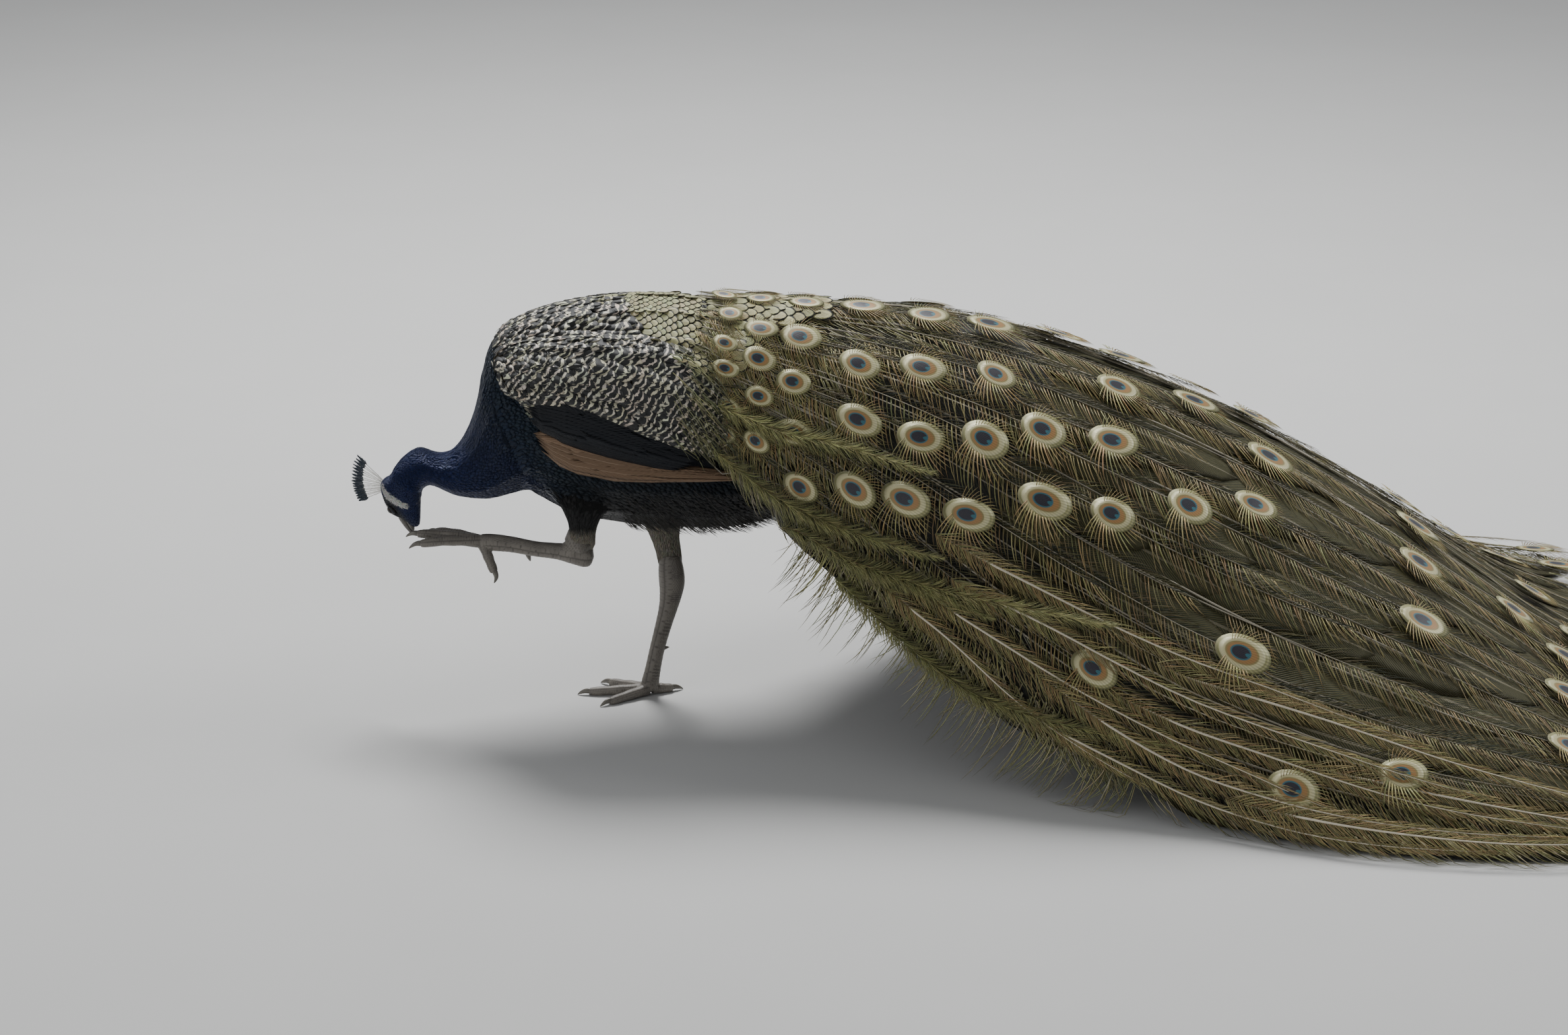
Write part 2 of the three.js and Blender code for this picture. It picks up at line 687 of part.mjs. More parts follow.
// Shanks, which stop at the feet, with a spur at the back of each.
const shanks = [raisedShank(), standingShank()];
show("shank_left", clearOf(shanks[0], leftToes), SHANK_SCALES);
show("shank_right", clearOf(shanks[1], rightToes), SHANK_SCALES);
show("spur_left", clearOf(spur([-150, -50, 213], [0.25, 0.3, -1]), shanks), HORN);
show("spur_right", clearOf(spur([14, 5, 62], [1, 0.25, 0.1]), shanks), HORN);

// Flesh: the body is one solid, parted by thin cuts into its named lengths.
const around = [...overBody, ...wings, upper, lower, ...eyes, ...leftToes, ...shanks];
const bodyForms = [trunkForm(), neckForm(), headForm()];
const flesh = clearOf(union(bodyForms), around);
const [front, trunk] = partAt(flesh, [-168, 0, 366], [-0.78, 0, -0.62]);
const [head, neck] = partAt(front, [-304, 0, 292], [-0.5, 0, -0.87]);
const [neckUpper, neckLower] = partAt(neck, [-238, 0, 304], [-1, 0, -0.12]);
show("head", head, PLUMAGE_BLUE);
show("neck_upper", neckUpper, PLUMAGE_BLUE);
show("neck_lower", neckLower, PLUMAGE_BLUE);
show("trunk", trunk, BELLY_BLACK);
show("crest", clearOf(crest(), bodyForms), CREST_BLUE);
show("thigh_left", clearOf(raisedThigh(), [...bodyForms, ...around]), THIGH_DOWN);
show("thigh_right", clearOf(standingThigh(), [...bodyForms, ...around]), THIGH_DOWN);

export default peacock;
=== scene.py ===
"""A peacock at rest on one leg, its head lowered to a raised foot and its train spread behind it."""

import math

import bmesh
import bpy
import numpy as np
from mathutils import Matrix, Vector, noise
from mathutils.bvhtree import BVHTree
from mathutils.kdtree import KDTree


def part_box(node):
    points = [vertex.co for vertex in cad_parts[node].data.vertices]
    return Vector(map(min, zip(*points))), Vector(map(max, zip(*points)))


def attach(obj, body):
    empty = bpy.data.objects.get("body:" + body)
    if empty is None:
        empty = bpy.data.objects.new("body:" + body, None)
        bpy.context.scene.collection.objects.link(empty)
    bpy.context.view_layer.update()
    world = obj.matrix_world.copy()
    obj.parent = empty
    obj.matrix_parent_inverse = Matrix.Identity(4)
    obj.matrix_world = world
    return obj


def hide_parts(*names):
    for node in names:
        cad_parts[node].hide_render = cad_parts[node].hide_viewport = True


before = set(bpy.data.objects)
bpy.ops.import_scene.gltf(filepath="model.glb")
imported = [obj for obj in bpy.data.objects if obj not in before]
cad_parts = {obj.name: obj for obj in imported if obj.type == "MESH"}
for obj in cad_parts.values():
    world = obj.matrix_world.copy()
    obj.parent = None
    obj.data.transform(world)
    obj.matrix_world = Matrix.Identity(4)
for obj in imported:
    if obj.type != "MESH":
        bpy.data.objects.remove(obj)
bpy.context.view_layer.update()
MM = 0.001
SEED = 11
dice = np.random.default_rng(SEED)

# ---------------------------------------------------------------- camera and lamps
AIM = Vector((0.1735, 0.0, 0.2438))
CAMERA_DISTANCE = 4.712
CAMERA_HEIGHT = math.radians(20)
LENS, SENSOR_WIDTH, FAR_END = 85, 36, 60


def aimed(name, data, place, direction):
    """Puts a camera or a lamp in the scene, turned to look along a direction."""
    made = new_object(name, data)
    made.location = place
    made.rotation_euler = direction.to_track_quat("-Z", "Y").to_euler()
    return made


def camera():
    lens = bpy.data.cameras.new("camera")
    lens.lens, lens.sensor_width, lens.clip_end = LENS, SENSOR_WIDTH, FAR_END
    back = Vector((0, -math.cos(CAMERA_HEIGHT), math.sin(CAMERA_HEIGHT)))
    bpy.context.scene.camera = aimed("camera", lens, AIM + back * CAMERA_DISTANCE, -back)


def lamp(name, place, target, size, watts):
    light = bpy.data.lights.new(name, "AREA")
    light.shape, light.size, light.energy = "DISK", size, watts
    aimed(name, light, place, Vector(target) - Vector(place))


# ---------------------------------------------------------------- nodes and materials
class Flow:
    """What flows out of a shader node: sums written with flows become nodes of their tree."""

    def __init__(self, tree, socket):
        self.tree, self.socket = tree, socket

    def __add__(self, other):
        return maths("ADD", self, other)

    def __sub__(self, other):
        return maths("SUBTRACT", self, other)

    def __mul__(self, other):
        return maths("MULTIPLY", self, other)

    def __truediv__(self, other):
        return maths("DIVIDE", self, other)

    def __pow__(self, other):
        return maths("POWER", self, other)


def node(tree, kind, values=None, **settings):
    """A node with its settings, and its inputs set or linked."""
    made = tree.nodes.new(kind)
    for key, value in settings.items():
        setattr(made, key, value)
    for key, value in (values or {}).items():
        if isinstance(value, Flow):
            tree.links.new(value.socket, made.inputs[key])
        elif isinstance(value, bpy.types.NodeSocket):
            tree.links.new(value, made.inputs[key])
        else:
            made.inputs[key].default_value = value
    return made


def maths(operation, *values):
    tree = next(value.tree for value in values if isinstance(value, Flow))
    inputs = dict(enumerate(values))
    return Flow(tree, node(tree, "ShaderNodeMath", inputs, operation=operation).outputs[0])


def sine(flow):
    return maths("SINE", flow)


def blend(share, first, second, mode="MIX"):
    made = node(share.tree, "ShaderNodeMix", data_type="RGBA", blend_type=mode, clamp_factor=True)
    for key, value in ((0, share), (6, first), (7, second)):
        if isinstance(value, Flow):
            share.tree.links.new(value.socket, made.inputs[key])
        else:
            made.inputs[key].default_value = value if len(value) == 4 else (*value, 1)
    return Flow(share.tree, made.outputs[2])


def ramp(value, *stops):
    made = node(value.tree, "ShaderNodeValToRGB", {0: value})
    made.color_ramp.interpolation = "EASE"
    elements = made.color_ramp.elements
    while len(elements) < len(stops):
        elements.new(1)
    for element, (place, colour) in zip(elements, stops):
        element.position = place
        element.color = (*colour, 1)
    return Flow(value.tree, made.outputs[0])


def grey(level):
    return level, level, level


BLACK = grey(0.0)


class Finish:
    """A new material, with the flows that its colour and bump start from."""

    def __init__(self, name, roughness, metallic=0.0, specular=0.5, sheen=0.0, coat=0.0):
        self.material = bpy.data.materials.new(name)
        self.material.use_nodes = True
        self.tree = self.material.node_tree
        self.shader = self.tree.nodes["Principled BSDF"]
        for key, value in (("Roughness", roughness), ("Metallic", metallic), ("Specular IOR Level", specular),
                           ("Sheen Weight", sheen), ("Coat Weight", coat)):
            self.shader.inputs[key].default_value = value

    def flow(self, kind, output=0, values=None, **settings):
        return Flow(self.tree, node(self.tree, kind, values, **settings).outputs[output])

    def place(self):
        return self.flow("ShaderNodeTexCoord", "Object")

    def axes(self, vector):
        split = node(self.tree, "ShaderNodeSeparateXYZ", {0: vector})
        return [Flow(self.tree, split.outputs[k]) for k in range(2)]

    def tint(self, output="Color"):
        return self.flow("ShaderNodeAttribute", output, attribute_name="tint")

    def grain(self, scale, detail=3.0, vector=None):
        inputs = {"Vector": vector or self.place(), "Scale": scale, "Detail": detail, "Roughness": 0.6}
        return self.flow("ShaderNodeTexNoise", 0, inputs)

    def vane_map(self):
        return self.flow("ShaderNodeUVMap", uv_map="Vane")

    def vane(self):
        """How far across a feather (0 at the shaft, 1 at the edge) and along it."""
        x, along = self.axes(self.vane_map())
        return maths("ABSOLUTE", x - 0.5) * 2.0, along

    def painted(self, colour, height=None, depth=0.0003, strength=0.6):
        """The material, with its colour and bump linked."""
        self.tree.links.new(colour.socket, self.shader.inputs["Base Color"])
        if height is not None:
            made = node(self.tree, "ShaderNodeBump", {"Height": height, "Distance": depth, "Strength": strength})
            self.tree.links.new(made.outputs[0], self.shader.inputs["Normal"])
        return self.material


def fibre_material(name, roughness, contrast=0.5, scale=190, detail=4, depth=0.0003, strength=0.5,
                   sheen=0.1, **shine):
    """Barbs, shafts or skin: each one's own tint, unevenly darkened, with a fine bump."""
    look = Finish(name, roughness, sheen=sheen, **shine)
    uneven = look.grain(scale, detail)
    return look.painted(blend(uneven * contrast, look.tint(), BLACK), uneven, depth, strength)


def grained_material(name, roughness, first, second, scale, depth=0.0003, strength=0.6, **shine):
    """Horn or bare skin: two colours mixed by a fine grain."""
    look = Finish(name, roughness, **shine)
    uneven = look.grain(scale, 5)
    return look.painted(blend(uneven, first, second), uneven, depth, strength)


# ---------------------------------------------------------------- mesh helpers
# How far a solid's surface is moved out before a skin is laid over it, and the skin back in, so
# that neighbours join. Then the cell sizes of the skins of body, wings and legs.
GROW = 0.0006
BODY_GRID, WING_GRID, LEG_GRID = 0.0033, 0.0045, 0.0010


def new_object(name, data):
    made = bpy.data.objects.new(name, data)
    bpy.context.collection.objects.link(made)
    return made


def read(items, key, width=3, kind=np.float32):
    flat = np.empty(len(items) * width, dtype=kind)
    items.foreach_get(key, flat)
    return flat.reshape(-1, width)


def coordinates(mesh):
    return read(mesh.vertices, "co").astype(np.float64)


def facings(mesh):
    return read(mesh.vertex_normals, "vector").astype(np.float64)


def place_points(mesh, points):
    mesh.vertices.foreach_set("co", np.asarray(points, dtype=np.float32).ravel())
    mesh.update()


def smooth_faces(mesh, smooth=True):
    mesh.polygons.foreach_set("use_smooth", [smooth] * len(mesh.polygons))


def map_points(mesh, name, uvs):
    """Adds a UV map that is given for each point."""
    corners = read(mesh.loops, "vertex_index", 1, np.int32)[:, 0]
    layer = mesh.uv_layers.new(name=name)
    layer.data.foreach_set("uv", np.asarray(uvs, dtype=np.float32)[corners].ravel())


def tint_points(mesh, colours):
    layer = mesh.attributes.new("tint", "FLOAT_COLOR", "POINT")
    layer.data.foreach_set("color", np.asarray(colours, dtype=np.float32).ravel())


def outward(mesh):
    shell = bmesh.new()
    shell.from_mesh(mesh)
    bmesh.ops.recalc_face_normals(shell, faces=shell.faces)
    shell.to_mesh(mesh)
    shell.free()
    return mesh


def solid_mesh(name, points, faces, uvs=None, smooth=True):
    """A mesh from points and faces, with an optional Vane map given for each point."""
    mesh = bpy.data.meshes.new(name)
    mesh.from_pydata([tuple(map(float, p)) for p in points], [], [tuple(f) for f in faces])
    smooth_faces(mesh, smooth)
    if uvs is not None:
        map_points(mesh, "Vane", uvs)
    mesh.update()
    return mesh


def closed(name, points, faces, uvs=None):
    return outward(solid_mesh(name, points, faces, uvs))


def coloured_piece(name, points, faces, bake, tints, vane=None):
    """A closed piece with its OFBake map and its tint, both given for each point."""
    mesh = solid_mesh(name, points, faces, vane)
    map_points(mesh, "OFBake", bake)
    tint_points(mesh, tints)
    return new_object(name, outward(mesh))


def capped(rings, sides, base=0, turned=False):
    """Faces of a closed tube: its first point, its rings of points, then its last point."""
    faces, last = [], base + 1 + rings * sides
    for k in range(sides):
        n = (k + 1) % sides
        faces.append((base, base + 1 + k, base + 1 + n) if turned else (base, base + 1 + n, base + 1 + k))
        for a in range(base + 1, last - sides, sides):
            b = a + sides
            faces.append((a + k, b + k, b + n, a + n) if turned else (a + k, a + n, b + n, b + k))
        a = last - sides
        faces.append((a + k, last, a + n) if turned else (a + k, a + n, last))
    return faces


def baked(made, name):
    """The object's evaluated mesh as a plain object, in place of the one with live modifiers."""
    graph = bpy.context.evaluated_depsgraph_get()
    mesh = bpy.data.meshes.new_from_object(made.evaluated_get(graph), depsgraph=graph)
    mesh.name = name
    old = made.data
    bpy.data.objects.remove(made)
    if old.users == 0:
        bpy.data.meshes.remove(old)
    return new_object(name, mesh)


def node_mesh(*names, grow=0.0):
    """One clean mesh of some of the frame's nodes, its doubles merged and its faces outward."""
    shell = bmesh.new()
    for name in names:
        piece = bmesh.new()
        piece.from_mesh(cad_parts[name].data)
        bmesh.ops.remove_doubles(piece, verts=piece.verts, dist=1e-6)
        bmesh.ops.recalc_face_normals(piece, faces=piece.faces)
        piece.normal_update()
        for vertex in piece.verts:
            vertex.co += vertex.normal * grow
        part = bpy.data.meshes.new("part")
        piece.to_mesh(part)
        piece.free()
        shell.from_mesh(part)
        bpy.data.meshes.remove(part)
    mesh = bpy.data.meshes.new("joined")
    shell.to_mesh(mesh)
    shell.free()
    return mesh


def mesh_surface(mesh):
    return BVHTree.FromPolygons([v.co.copy() for v in mesh.vertices], [tuple(p.vertices) for p in mesh.polygons])


def surface_of(*names):
    mesh = node_mesh(*names)
    tree = mesh_surface(mesh)
    bpy.data.meshes.remove(mesh)
    return tree


def nearest_of(trees, where):
    """For each point the index of the surface it is nearest to."""
    return np.array([[tree.find_nearest(Vector(p))[3] for tree in trees] for p in where]).argmin(axis=1)


def remeshed(name, mesh, voxel, smooth, depth, grow=GROW):
    """A mesh as one even skin, smoothed and then sunk by a depth that may vary with place."""
    made = new_object(name, mesh)
    grid = made.modifiers.new("grid", "REMESH")
    grid.mode = "VOXEL"
    grid.voxel_size = voxel
    made.modifiers.new("soften", "SMOOTH").iterations = smooth
    made = baked(made, name)
    where = coordinates(made.data)
    sink = depth(where) if callable(depth) else depth
    place_points(made.data, where - facings(made.data) * (np.reshape(sink, (-1, 1)) + grow))
    smooth_faces(made.data)
    return made


def show(made, material=None, nodes=()):
    """The last step for a piece: its material, its body and the nodes it stands for."""
    if material is not None:
        made.data.materials.clear()
        made.data.materials.append(material)
    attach(made, "root")
    if nodes:
        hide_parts(*nodes)


# ---------------------------------------------------------------- copies of a shape
def copies_tree():
    """Puts a shape on every point, turned and sized by the point, each with its own map patch."""
    tree = bpy.data.node_groups.new("copies", "GeometryNodeTree")
    for name, kind in (("Geometry", "Geometry"), ("Shape", "Object"), ("Patch size", "Float"), ("Finish", "Material")):
        tree.interface.new_socket(name, in_out="INPUT", socket_type="NodeSocket" + kind)
    tree.interface.new_socket("Geometry", in_out="OUTPUT", socket_type="NodeSocketGeometry")
    given = tree.nodes.new("NodeGroupInput").outputs

    def stored(name, kind="FLOAT_VECTOR"):
        return node(tree, "GeometryNodeInputNamedAttribute", {0: name}, data_type=kind).outputs[0]

    def vector(operation, inputs):
        return node(tree, "ShaderNodeVectorMath", inputs, operation=operation).outputs[0]

    shape = node(tree, "GeometryNodeObjectInfo", {0: given["Shape"]}, transform_space="ORIGINAL")
    placed = node(tree, "GeometryNodeInstanceOnPoints", {
        "Points": given["Geometry"], "Instance": shape.outputs["Geometry"],
        "Rotation": stored("turn", "QUATERNION"), "Scale": stored("size")})
    real = node(tree, "GeometryNodeRealizeInstances", {0: placed.outputs[0]})
    centred = vector("SUBTRACT", {0: stored("Vane"), 1: (0.5, 0.5, 0)})
    scaled = vector("SCALE", {0: centred, "Scale": given["Patch size"]})
    patch = vector("ADD", {0: stored("root"), 1: scaled})
    mapped = node(tree, "GeometryNodeStoreNamedAttribute",
                  {"Geometry": real.outputs[0], "Name": "OFBake", "Value": patch},
                  data_type="FLOAT2", domain="CORNER")
    dressed = node(tree, "GeometryNodeSetMaterial", {"Geometry": mapped.outputs[0], "Material": given["Finish"]})
    node(tree, "NodeGroupOutput", {0: dressed.outputs[0]})
    return tree


COPIES = copies_tree()
PATCH = 0.003


def unit(vectors):
    return vectors / np.maximum(np.linalg.norm(vectors, axis=-1, keepdims=True), 1e-12)


def turns(along, up):
    """Quaternions (w, x, y, z) that turn +Y to along and +Z as near as can be to up."""
    y = along / np.linalg.norm(along, axis=1, keepdims=True)
    x = np.cross(y, up)
    x /= np.maximum(np.linalg.norm(x, axis=1, keepdims=True), 1e-9)
    z = np.cross(x, y)
    xx, yy, zz = x[:, 0], y[:, 1], z[:, 2]
    trace = np.stack([1 + xx + yy + zz, 1 + xx - yy - zz, 1 - xx + yy - zz, 1 - xx - yy + zz], axis=1)
    wx, wy, wz = y[:, 2] - z[:, 1], z[:, 0] - x[:, 2], x[:, 1] - y[:, 0]
    xy, xz, yz = x[:, 1] + y[:, 0], z[:, 0] + x[:, 2], y[:, 2] + z[:, 1]
    choices = np.stack([trace[:, 0], wx, wy, wz, wx, trace[:, 1], xy, xz,
                        wy, xy, trace[:, 2], yz, wz, xz, yz, trace[:, 3]], axis=1).reshape(-1, 4, 4)
    pick = choices[np.arange(len(trace)), trace.argmax(axis=1)]
    return pick / np.linalg.norm(pick, axis=1, keepdims=True)


def scatter(name, shape, material, where, along, up, size, tint, root, patch=PATCH):
    """A piece made of copies of a shape; every argument after the material is per copy."""
    count = len(where)
    mesh = bpy.data.meshes.new(name + "_places")
    mesh.vertices.add(count)
    mesh.vertices.foreach_set("co", np.asarray(where, dtype=np.float32).ravel())
    for key, kind, field, values in (
        ("turn", "QUATERNION", "value", turns(np.asarray(along), np.asarray(up))),
        ("size", "FLOAT_VECTOR", "vector", size),
        ("tint", "FLOAT_COLOR", "color", tint),
        ("root", "FLOAT_VECTOR", "vector", np.c_[root, np.zeros(count)]),
    ):
        layer = mesh.attributes.new(key, kind, "POINT")
        layer.data.foreach_set(field, np.asarray(values, dtype=np.float32).ravel())
    made = new_object(name, mesh)
    modifier = made.modifiers.new("copies", "NODES")
    modifier.node_group = COPIES
    sockets = {item.name: item.identifier for item in COPIES.interface.items_tree if item.in_out == "INPUT"}
    modifier[sockets["Shape"]] = shape
    modifier[sockets["Patch size"]] = patch
    modifier[sockets["Finish"]] = material
    made = baked(made, name)
    for spare in ("turn", "size", "root"):
        layer = made.data.attributes.get(spare)
        if layer is not None:
            made.data.attributes.remove(layer)
    show(made)
    return made


def shape_object(mesh):
    """A shape for the copies, kept out of the scene itself."""
    return bpy.data.objects.new(mesh.name, mesh)


def feather(name, width, rows, tops=1, keel=0.04, cup=0.10, arch=0.03, curl=0.0):
    """A thin closed vane, 1 long and 1 wide: a lens in section, cupped down at its edges.
    width(t) is its width at t from root to tip."""
    points, uvs, ring = [(0, 0, 0)], [(0.5, 0)], 2 * tops + 2
    for i in range(rows):
        t = (i + 1) / (rows + 1)
        half = 0.5 * width(t)
        lift = arch * math.sin(math.pi * t) - curl * t * t
        for k in range(ring):
            if k <= tops + 1:
                share = k / (tops + 1) * 2 - 1
                swell = keel * (1 - share * share)
            else:
                share = 1 - (k - tops - 1) / (tops + 1) * 2
                swell = -keel * 0.4 * (1 - share * share)
            points.append((half * share, t, lift + swell * 0.5 - cup * half * share * share))
            uvs.append((0.5 + 0.5 * share, t))
    points.append((0, 1, -curl))
    uvs.append((0.5, 1))
    return shape_object(closed(name, points, capped(rows, ring), uvs))


def barb(name, bend=0.25, droop=0.06, wide=0.02, thick=0.008, steps=3):
    """A single barb, 1 long: a thin tapered blade that bends to its right and droops."""
    points, uvs, faces = [], [], []
    for i in range(steps):
        t = i / steps
        half = 0.5 * wide * (1 - 0.45 * t)
        x, z = bend * t * t, -droop * t * t
        points += [(x - half, t, z), (x, t, z + thick), (x + half, t, z)]
        uvs += [(0, t), (0.5, t), (1, t)]
    points.append((bend, 1, -droop))
    uvs.append((0.5, 1))
    for a in range(0, 3 * (steps - 1), 3):
        for k in range(3):
            n = (k + 1) % 3
            faces.append((a + k, a + n, a + 3 + n, a + 3 + k))
    a, tip = 3 * (steps - 1), 3 * steps
    faces += [(a, a + 1, tip), (a + 1, a + 2, tip), (a + 2, a, tip), (0, 1, 2)]
    return shape_object(closed(name, points, faces, uvs))


def mirrored(name, bend, **form):
    """The barbs of the right side, and their mirror images for the left."""
    return {"right": barb(f"{name} right", bend, **form), "left": barb(f"{name} left", -bend, **form)}


# ---------------------------------------------------------------- the lie of the coat
# The line the coat follows from the bill over the nape, down the bent neck and along the back.
LIE_LINE = MM * np.array([
    (-300, -16, 226), (-308, -13, 246), (-316, -11, 268), (-323, -12, 290), (-318, -12, 306),
    (-303, -12, 314), (-284, -9, 318), (-265, -8, 311), (-245, -6, 307), (-222, -4, 315),
    (-203, -2, 334), (-178, 0, 362), (-120, 0, 392), (-50, 0, 396), (30, 0, 392), (110, 0, 384),
    (190, 0, 376), (270, 0, 362),
])
THIGH_LINES = {
    "thigh_left": MM * np.array([(-60, -58, 320), (-78, -60, 280), (-80, -61, 250), (-82, -59, 222)]),
    "thigh_right": MM * np.array([(20, 44, 320), (18, 38, 275), (24, 26, 222), (28, 18, 180)]),
}


def catmull(line, t):
    """Points on a smooth line through the given ones; t runs from 0 to 1."""
    t = np.clip(np.asarray(t, dtype=float), 0, 1) * (len(line) - 1)
    i = np.clip(t.astype(int), 0, len(line) - 2)
    f = (t - i)[..., None]
    back, a, b, ahead = (line[np.clip(i + k, 0, len(line) - 1)] for k in (-1, 0, 1, 2))
    before = np.where((i == 0)[..., None], 2 * a - b, back)
    after = np.where((i == len(line) - 2)[..., None], 2 * b - a, ahead)
    return 0.5 * (2 * a + (b - before) * f + (2 * before - 5 * a + 4 * b - after) * f ** 2
                  + (3 * a - before - 3 * b + after) * f ** 3)


class Lie:
    """Where points are along a line, which way it runs there, and how far out they are."""

    def __init__(self, line, samples=400):
        self.t = np.linspace(0, 1, samples)
        self.points = catmull(line, self.t)
        self.runs = unit(np.gradient(self.points, axis=0))
        self.tree = KDTree(samples)
        for i, point in enumerate(self.points):
            self.tree.insert(point, i)
        self.tree.balance()

    def near(self, where):
        found = [self.tree.find(p) for p in where]
        index = np.array([f[1] for f in found])
        return self.t[index], self.runs[index], np.array([f[2] for f in found]), self.points[index]


BODY_LIE = Lie(LIE_LINE)
THIGH_LIES = {name: Lie(line, 60) for name, line in THIGH_LINES.items()}


def soft_step(value, start, end):
    share = np.clip((np.asarray(value, dtype=float) - start) / (end - start), 0, 1)
    return share * share * (3 - 2 * share)


def along_surface(runs, up):
    """Directions turned into the surface that up stands on."""
    return unit(runs - up * (runs * up).sum(axis=-1, keepdims=True))


HEAD_CENTRE = Vector((-0.3145, -0.011, 0.2652))
HEAD_DIP, HEAD_ROLL = math.radians(111), math.radians(44)
FORWARD = Vector((-math.cos(HEAD_DIP), 0, -math.sin(HEAD_DIP)))
UP = Vector((-math.sin(HEAD_DIP), 0, math.cos(HEAD_DIP))) * math.cos(HEAD_ROLL) + Vector((0, math.sin(HEAD_ROLL), 0))
SIDE = UP.cross(FORWARD)
HEAD_PLACE = Matrix((FORWARD, SIDE, UP)).transposed().to_4x4()
HEAD_PLACE.translation = HEAD_CENTRE


def in_head(where):
    """Head coordinates in millimetres: forward along the bill, to the bird's left, and up."""
    away = (np.asarray(where) - np.array(HEAD_CENTRE)) / MM
    return away @ np.array([FORWARD, SIDE, UP]).T


def from_head(x, y, z):
    return HEAD_PLACE @ Vector((x * MM, y * MM, z * MM))


# ---------------------------------------------------------------- skin and markings
FLESH = ("head", "neck_upper", "neck_lower", "trunk", "thigh_left", "thigh_right")
HEAD, UPPER_NECK, LOWER_NECK, TRUNK, LEFT_THIGH, RIGHT_THIGH = range(6)
FLESH_SURFACES = [surface_of(name) for name in FLESH]

NECK_BLUE = np.array((0.006, 0.020, 0.105))
THROAT_BLUE = np.array((0.004, 0.014, 0.062))
BREAST_TEAL = np.array((0.004, 0.018, 0.034))
BELLY_BLACK = np.array((0.006, 0.007, 0.008))
BACK_GOLD = np.array((0.600, 0.580, 0.310))
FACE_WHITE = np.array((0.820, 0.810, 0.770))
EYE_LINE = np.array((0.006, 0.009, 0.018))
CROWN_BLUE = np.array((0.006, 0.026, 0.080))
THIGH_BUFF = np.array((0.330, 0.300, 0.240))
THIGH_DARK = np.array((0.010, 0.010, 0.010))
BAR_BUFF = np.array((0.700, 0.655, 0.520))
DOWN_GREY = np.array((0.16, 0.145, 0.11))
DOWN_DARK = np.array((0.030, 0.027, 0.022))
DOWN_WHITE = np.array((0.62, 0.61, 0.57))
CREST_SHAFT = np.array((0.74, 0.72, 0.66))
TIP_TEAL = np.array((0.005, 0.020, 0.040))
SECONDARY_INK = np.array((0.006, 0.008, 0.012))
PRIMARY_RUST = np.array((0.215, 0.135, 0.080))
UNDER_SHIELD = np.array((0.10, 0.085, 0.055))
TAIL_BROWN = np.array((0.105, 0.075, 0.05))
BARB_GOLD = np.array((0.400, 0.385, 0.160))
BARB_BRONZE = np.array((0.430, 0.290, 0.130))
# Near-black that train barbs are mixed toward and the under feathers are tinted with: painted shade among the feathers.
BARB_SHADE = np.array((0.022, 0.030, 0.014))
SHAFT_CREAM = np.array((0.640, 0.580, 0.450))

# Heights where the thigh feathers end, the x that parts the thighs, and the face's reach in millimetres.
HOCK_HEM_LEFT, HOCK_HEM_RIGHT = 0.2330, 0.166
BETWEEN_THIGHS = -0.03
FACE_REACH = 60


def solid_colour(colour, count=1):
    """A colour with full alpha, for each of some places."""
    return np.tile((*colour, 1), (count, 1))


def mixed(first, second, share):
    return first + (second - first) * np.clip(share, 0, 1)[:, None]


def coat_depth(where):
    """How far the skin lies under the tips of the coat, by place."""
    along = BODY_LIE.near(where)[0]
    deep = 0.0008 + 0.0022 * soft_step(along, 0.22, 0.5) + 0.0015 * soft_step(along, 0.6, 0.75)
    near_head = np.exp(-(np.linalg.norm(in_head(where) - [-5, 0, 0], axis=1) / 26) ** 4)
    return deep * (1 - near_head) + 0.0007 * near_head


def face_marks(head):
    """How far a point of the head is in each mark: pale brow stripe, pale cheek, dark eye patch."""
    x, y, z = head.T
    side = np.abs(y)
    brow_line = 8.4 - 0.20 * np.maximum(0, x - 2)
    brow = np.exp(-((z - brow_line) / 2.7) ** 4) * soft_step(x, -16, -8) * soft_step(side, 2, 5)
    behind = x + 28.5
    cheek_line = -1.6 - 0.45 * behind - 0.0085 * behind ** 2 + np.where(y < 0, 1.6, 0.0)
    width = 2.3 + 2.1 * soft_step(x, -31, -17) - 1.2 * soft_step(x, -8, 3)
    cheek = np.exp(-(np.maximum(np.abs(z - cheek_line) - width * 1.15, 0) / 0.7) ** 2)
    cheek *= soft_step(-x, -6, -3) * soft_step(x, -34, -31) * soft_step(side, 3, 7)
    patch = np.exp(-((z + 3.5) / 12.0) ** 4) * soft_step(x, -21, -14) * soft_step(side, 2, 6)
    return np.clip(brow, 0, 1), np.clip(cheek, 0, 1), np.clip(patch, 0, 1)


def barred_share(where):
    """1 on the barred shoulder and shield, 0 on the neck, back and belly."""
    x, _, z = np.asarray(where).T
    low_edge = 0.470 - 0.55 * (x + 0.20) + 0.05 * np.sin(x * 18)
    neck_edge = -0.192 + 0.10 * (z - 0.45)
    back_edge = -0.035 + 0.16 * soft_step(0.535 - z, 0, 0.10)
    return (soft_step(z, low_edge - 0.008, low_edge + 0.004)
            * soft_step(x, neck_edge - 0.006, neck_edge + 0.004)
            * soft_step(back_edge - x, -0.006, 0.006))


